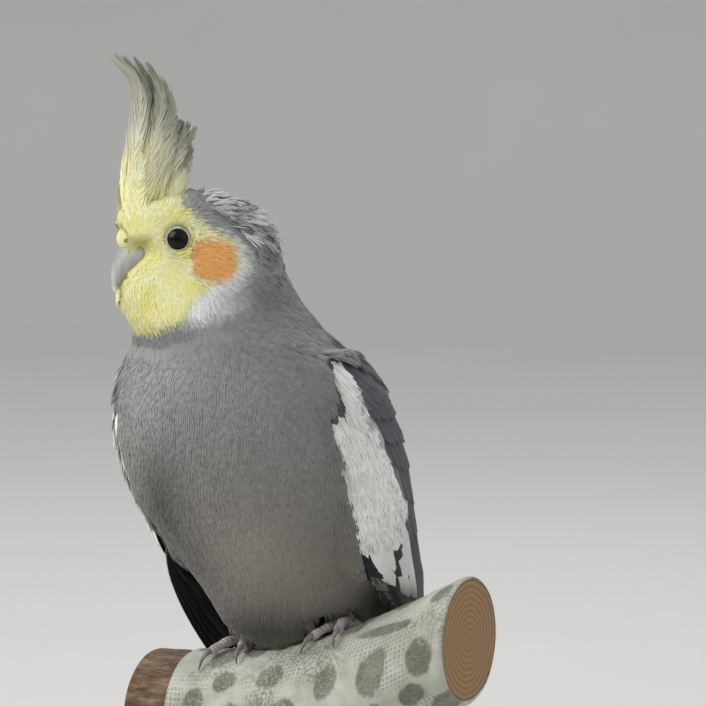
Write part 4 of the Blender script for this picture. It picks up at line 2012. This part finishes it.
# %% Cloth and wood in one material
def branch_finish():
    """Woven cloth with print and holes past its edge, and bark and end grain before it."""
    paint = Paint("bandage_and_bark")
    where = paint.place()
    along, around, radius = paint.parts(paint.attribute("thread", "Vector"))
    spot, cloth, flecked = (paint.attribute(k) for k in ("spot", "cloth", "flecked"))

    def threads(x, spacing):
        """1 along each thread and 0 between, for a spacing in millimetres."""
        wave = (x * (math.pi / spacing)).maths("SINE")
        return wave.maths("ABSOLUTE")

    bend = paint.noise(where, 90, 2) * 2.6 + paint.noise(where, 420, 2) * 0.8
    weave = threads(along + bend, 1.25).maths("MAXIMUM", threads(around + bend, 1.4))
    open_weave = paint.noise(where, 55, 2).smooth(0.5, 0.62)
    fine = threads(along, 0.5) * threads(around, 0.5)
    cloud = paint.noise(where, 120, 4, 0.6)
    grain = paint.noise(where, 1150, 3, 0.7)
    base = paint.mix(cloud.smooth(0.3, 0.7), colour(176, 178, 164), colour(206, 208, 198))
    olive = paint.mix(cloud.smooth(0.35, 0.65), colour(110, 112, 98), colour(138, 139, 126))
    fleck = grain.smooth(0.47, 0.56) * flecked * paint.noise(where, 75, 3).smooth(0.42, 0.62)
    base = paint.mix(fleck * 0.75, base, olive)
    base = paint.mix(spot * (0.72 + 0.28 * grain.smooth(0.35, 0.5)), base, olive)
    white_fleck = paint.noise(where, 1500, 2, 0.7).smooth(0.56, 0.64)
    base = paint.mix(white_fleck * spot * flecked * 0.7, base, colour(196, 197, 186))
    holes = (1 - weave.smooth(0.72, 0.9)) * open_weave * (1 - spot * 0.6)
    base = paint.mix(holes * 0.42, base, colour(112, 111, 100))
    bark_lines = paint.noise(paint.stretched(where, (1, 4, 4)), 160, 5, 0.65)
    bark = paint.node("ShaderNodeValToRGB", {"stops": [
        (0.25, colour(58, 44, 34)), (0.5, colour(108, 88, 70)), (0.72, colour(150, 128, 106)),
    ]}, {0: bark_lines})
    rings = threads(radius + paint.noise(where, 60, 2) * 2.5, 1.7)
    cut = paint.mix(rings * 0.5 + bark_lines * 0.4, colour(176, 144, 104), colour(128, 96, 64))
    wood = paint.mix(1 - radius.smooth(15.8, 16.6), bark, cut)
    base = paint.mix(cloth, wood, base)
    height = cloth * (weave * open_weave * 0.8 + fine * 0.25 + grain * 0.3)
    height = height + (1 - cloth) * bark_lines * 1.6
    return paint.finish(Base_Color=base, Roughness=0.9, Specular_IOR_Level=0.2, Sheen_Weight=0.1,
                        Normal=paint.bump(height, 0.35 * MM, 0.9))


dressed(perch, branch_finish(), "bandage", "perch")

# %% [markdown]
# ## The stand
#
# The branch is held by a plain display stand: a turned wooden disc and two steel rods.

# %% Base and rods
SHARP_EDGE = math.radians(35)  # edges that turn more than this stay sharp
BASE = ((74, 0), (75, 1.0), (75, 6.4), (74.6, 7.4), (73.8, 7.9), (72.8, 8.0))
base = turned("display_base", [(r * MM, z * MM) for r, z in BASE], 128, filled=True)
bpy.ops.object.shade_smooth_by_angle(angle=SHARP_EDGE)


def wood_finish():
    """Dark, varnished wood, its grain running along the base."""
    paint = Paint("dark_wood")
    where = paint.place()
    wide = paint.noise(paint.stretched(where, (1, 9, 4)), 16, 6, 0.6)
    pores = paint.noise(paint.stretched(where, (1, 16, 16)), 120, 3, 0.6).smooth(0.58, 0.7)
    base = paint.node("ShaderNodeValToRGB", {"stops": [
        (0.3, colour(44, 30, 22)), (0.5, colour(74, 52, 38)), (0.7, colour(104, 76, 56)),
    ]}, {0: wide})
    base = paint.mix(pores * 0.6, base, colour(30, 21, 16))
    return paint.finish(Base_Color=base, Roughness=0.34, Coat_Weight=0.35, Coat_Roughness=0.18,
                        Normal=paint.bump(wide * 0.4 - pores * 0.5, 0.12 * MM, 0.6))


def steel_finish():
    """Steel brushed round the rod."""
    paint = Paint("brushed_steel")
    brushed = paint.noise(paint.stretched(paint.place(), (1, 1, 60)), 900, 2)
    return paint.finish(Base_Color=colour(196, 198, 202), Metallic=1.0,
                        Roughness=0.24 + brushed * 0.16)


dressed(base, wood_finish(), "base_wood", "stand_base")
steel = steel_finish()
ROD_CHAMFER = 0.4 * MM
for side in HANDS:
    low, high = (np.array(corner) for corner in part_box(f"stand_rod_{side}"))
    middle, radius = (low + high) / 2, (high[0] - low[0]) / 2
    profile = [(radius, low[2]), (radius, high[2] - ROD_CHAMFER), (radius * 0.9, high[2])]
    rod = turned(f"display_rod_{side}", profile, 48, filled=True)
    reshape(rod, lambda points, _: points + [middle[0], middle[1], 0])
    bpy.ops.object.shade_smooth_by_angle(angle=SHARP_EDGE)
    dressed(rod, steel, "rod_steel", f"stand_rod_{side}")

# %% [markdown]
# ## Room and light
#
# A plain pale floor that sweeps up into a wall all round, a large soft lamp from the upper
# left, and a weaker one from the right to open the shadows.

# %% Floor and lamps
SWEEP = (  # radius and height of the floor's profile, in metres
    (0.001, 0), (3.4, 0), (3.8, 0.05), (4.15, 0.2), (4.4, 0.5), (4.5, 0.9), (4.5, 1.8),
)


def floor_finish():
    paint = Paint("pale_floor")
    mottle = paint.noise(paint.place(), 3, 4)
    base = paint.mix(mottle, colour(214, 213, 210), colour(222, 221, 218))
    return paint.finish(Base_Color=base, Roughness=0.9, Specular_IOR_Level=0.1)


floor = turned("floor", SWEEP, 96)
edit_all(floor, bpy.ops.mesh.remove_doubles, threshold=3 * MM)
floor.data.materials.append(floor_finish())


def lamp(name, turn, rise, distance, size, power, tint):
    """A square soft lamp that faces the bird, turned round it from the camera's side."""
    azimuth, height = CAMERA_TURN + math.radians(turn), math.radians(rise)
    flat = math.cos(height)
    way = np.array([math.sin(azimuth) * flat, -math.cos(azimuth) * flat, math.sin(height)])
    data = bpy.data.lights.new(name, "AREA")
    data.shape, data.size, data.energy, data.color = "SQUARE", size, power, tint
    made = bpy.data.objects.new(name, data)
    made.location = aim + way * distance
    made.rotation_euler = Vector(-way).to_track_quat("-Z", "Y").to_euler()
    bpy.context.scene.collection.objects.link(made)


lamp("key_lamp", -64, 40, 1.6, 1.3, 19, (1.0, 0.99, 0.97))
lamp("fill_lamp", 60, 20, 1.8, 1.3, 2.6, (0.96, 0.98, 1.0))
lamp("rim_lamp", 165, 50, 1.7, 0.9, 6, (1.0, 1.0, 1.0))
world = bpy.data.worlds.new("soft_sky")
world.use_nodes = True
sky = world.node_tree.nodes["Background"].inputs
sky["Color"].default_value, sky["Strength"].default_value = (0.95, 0.97, 1.0, 1), 0.62
bpy.context.scene.world = world
bpy.context.scene.view_settings.view_transform = "Standard"
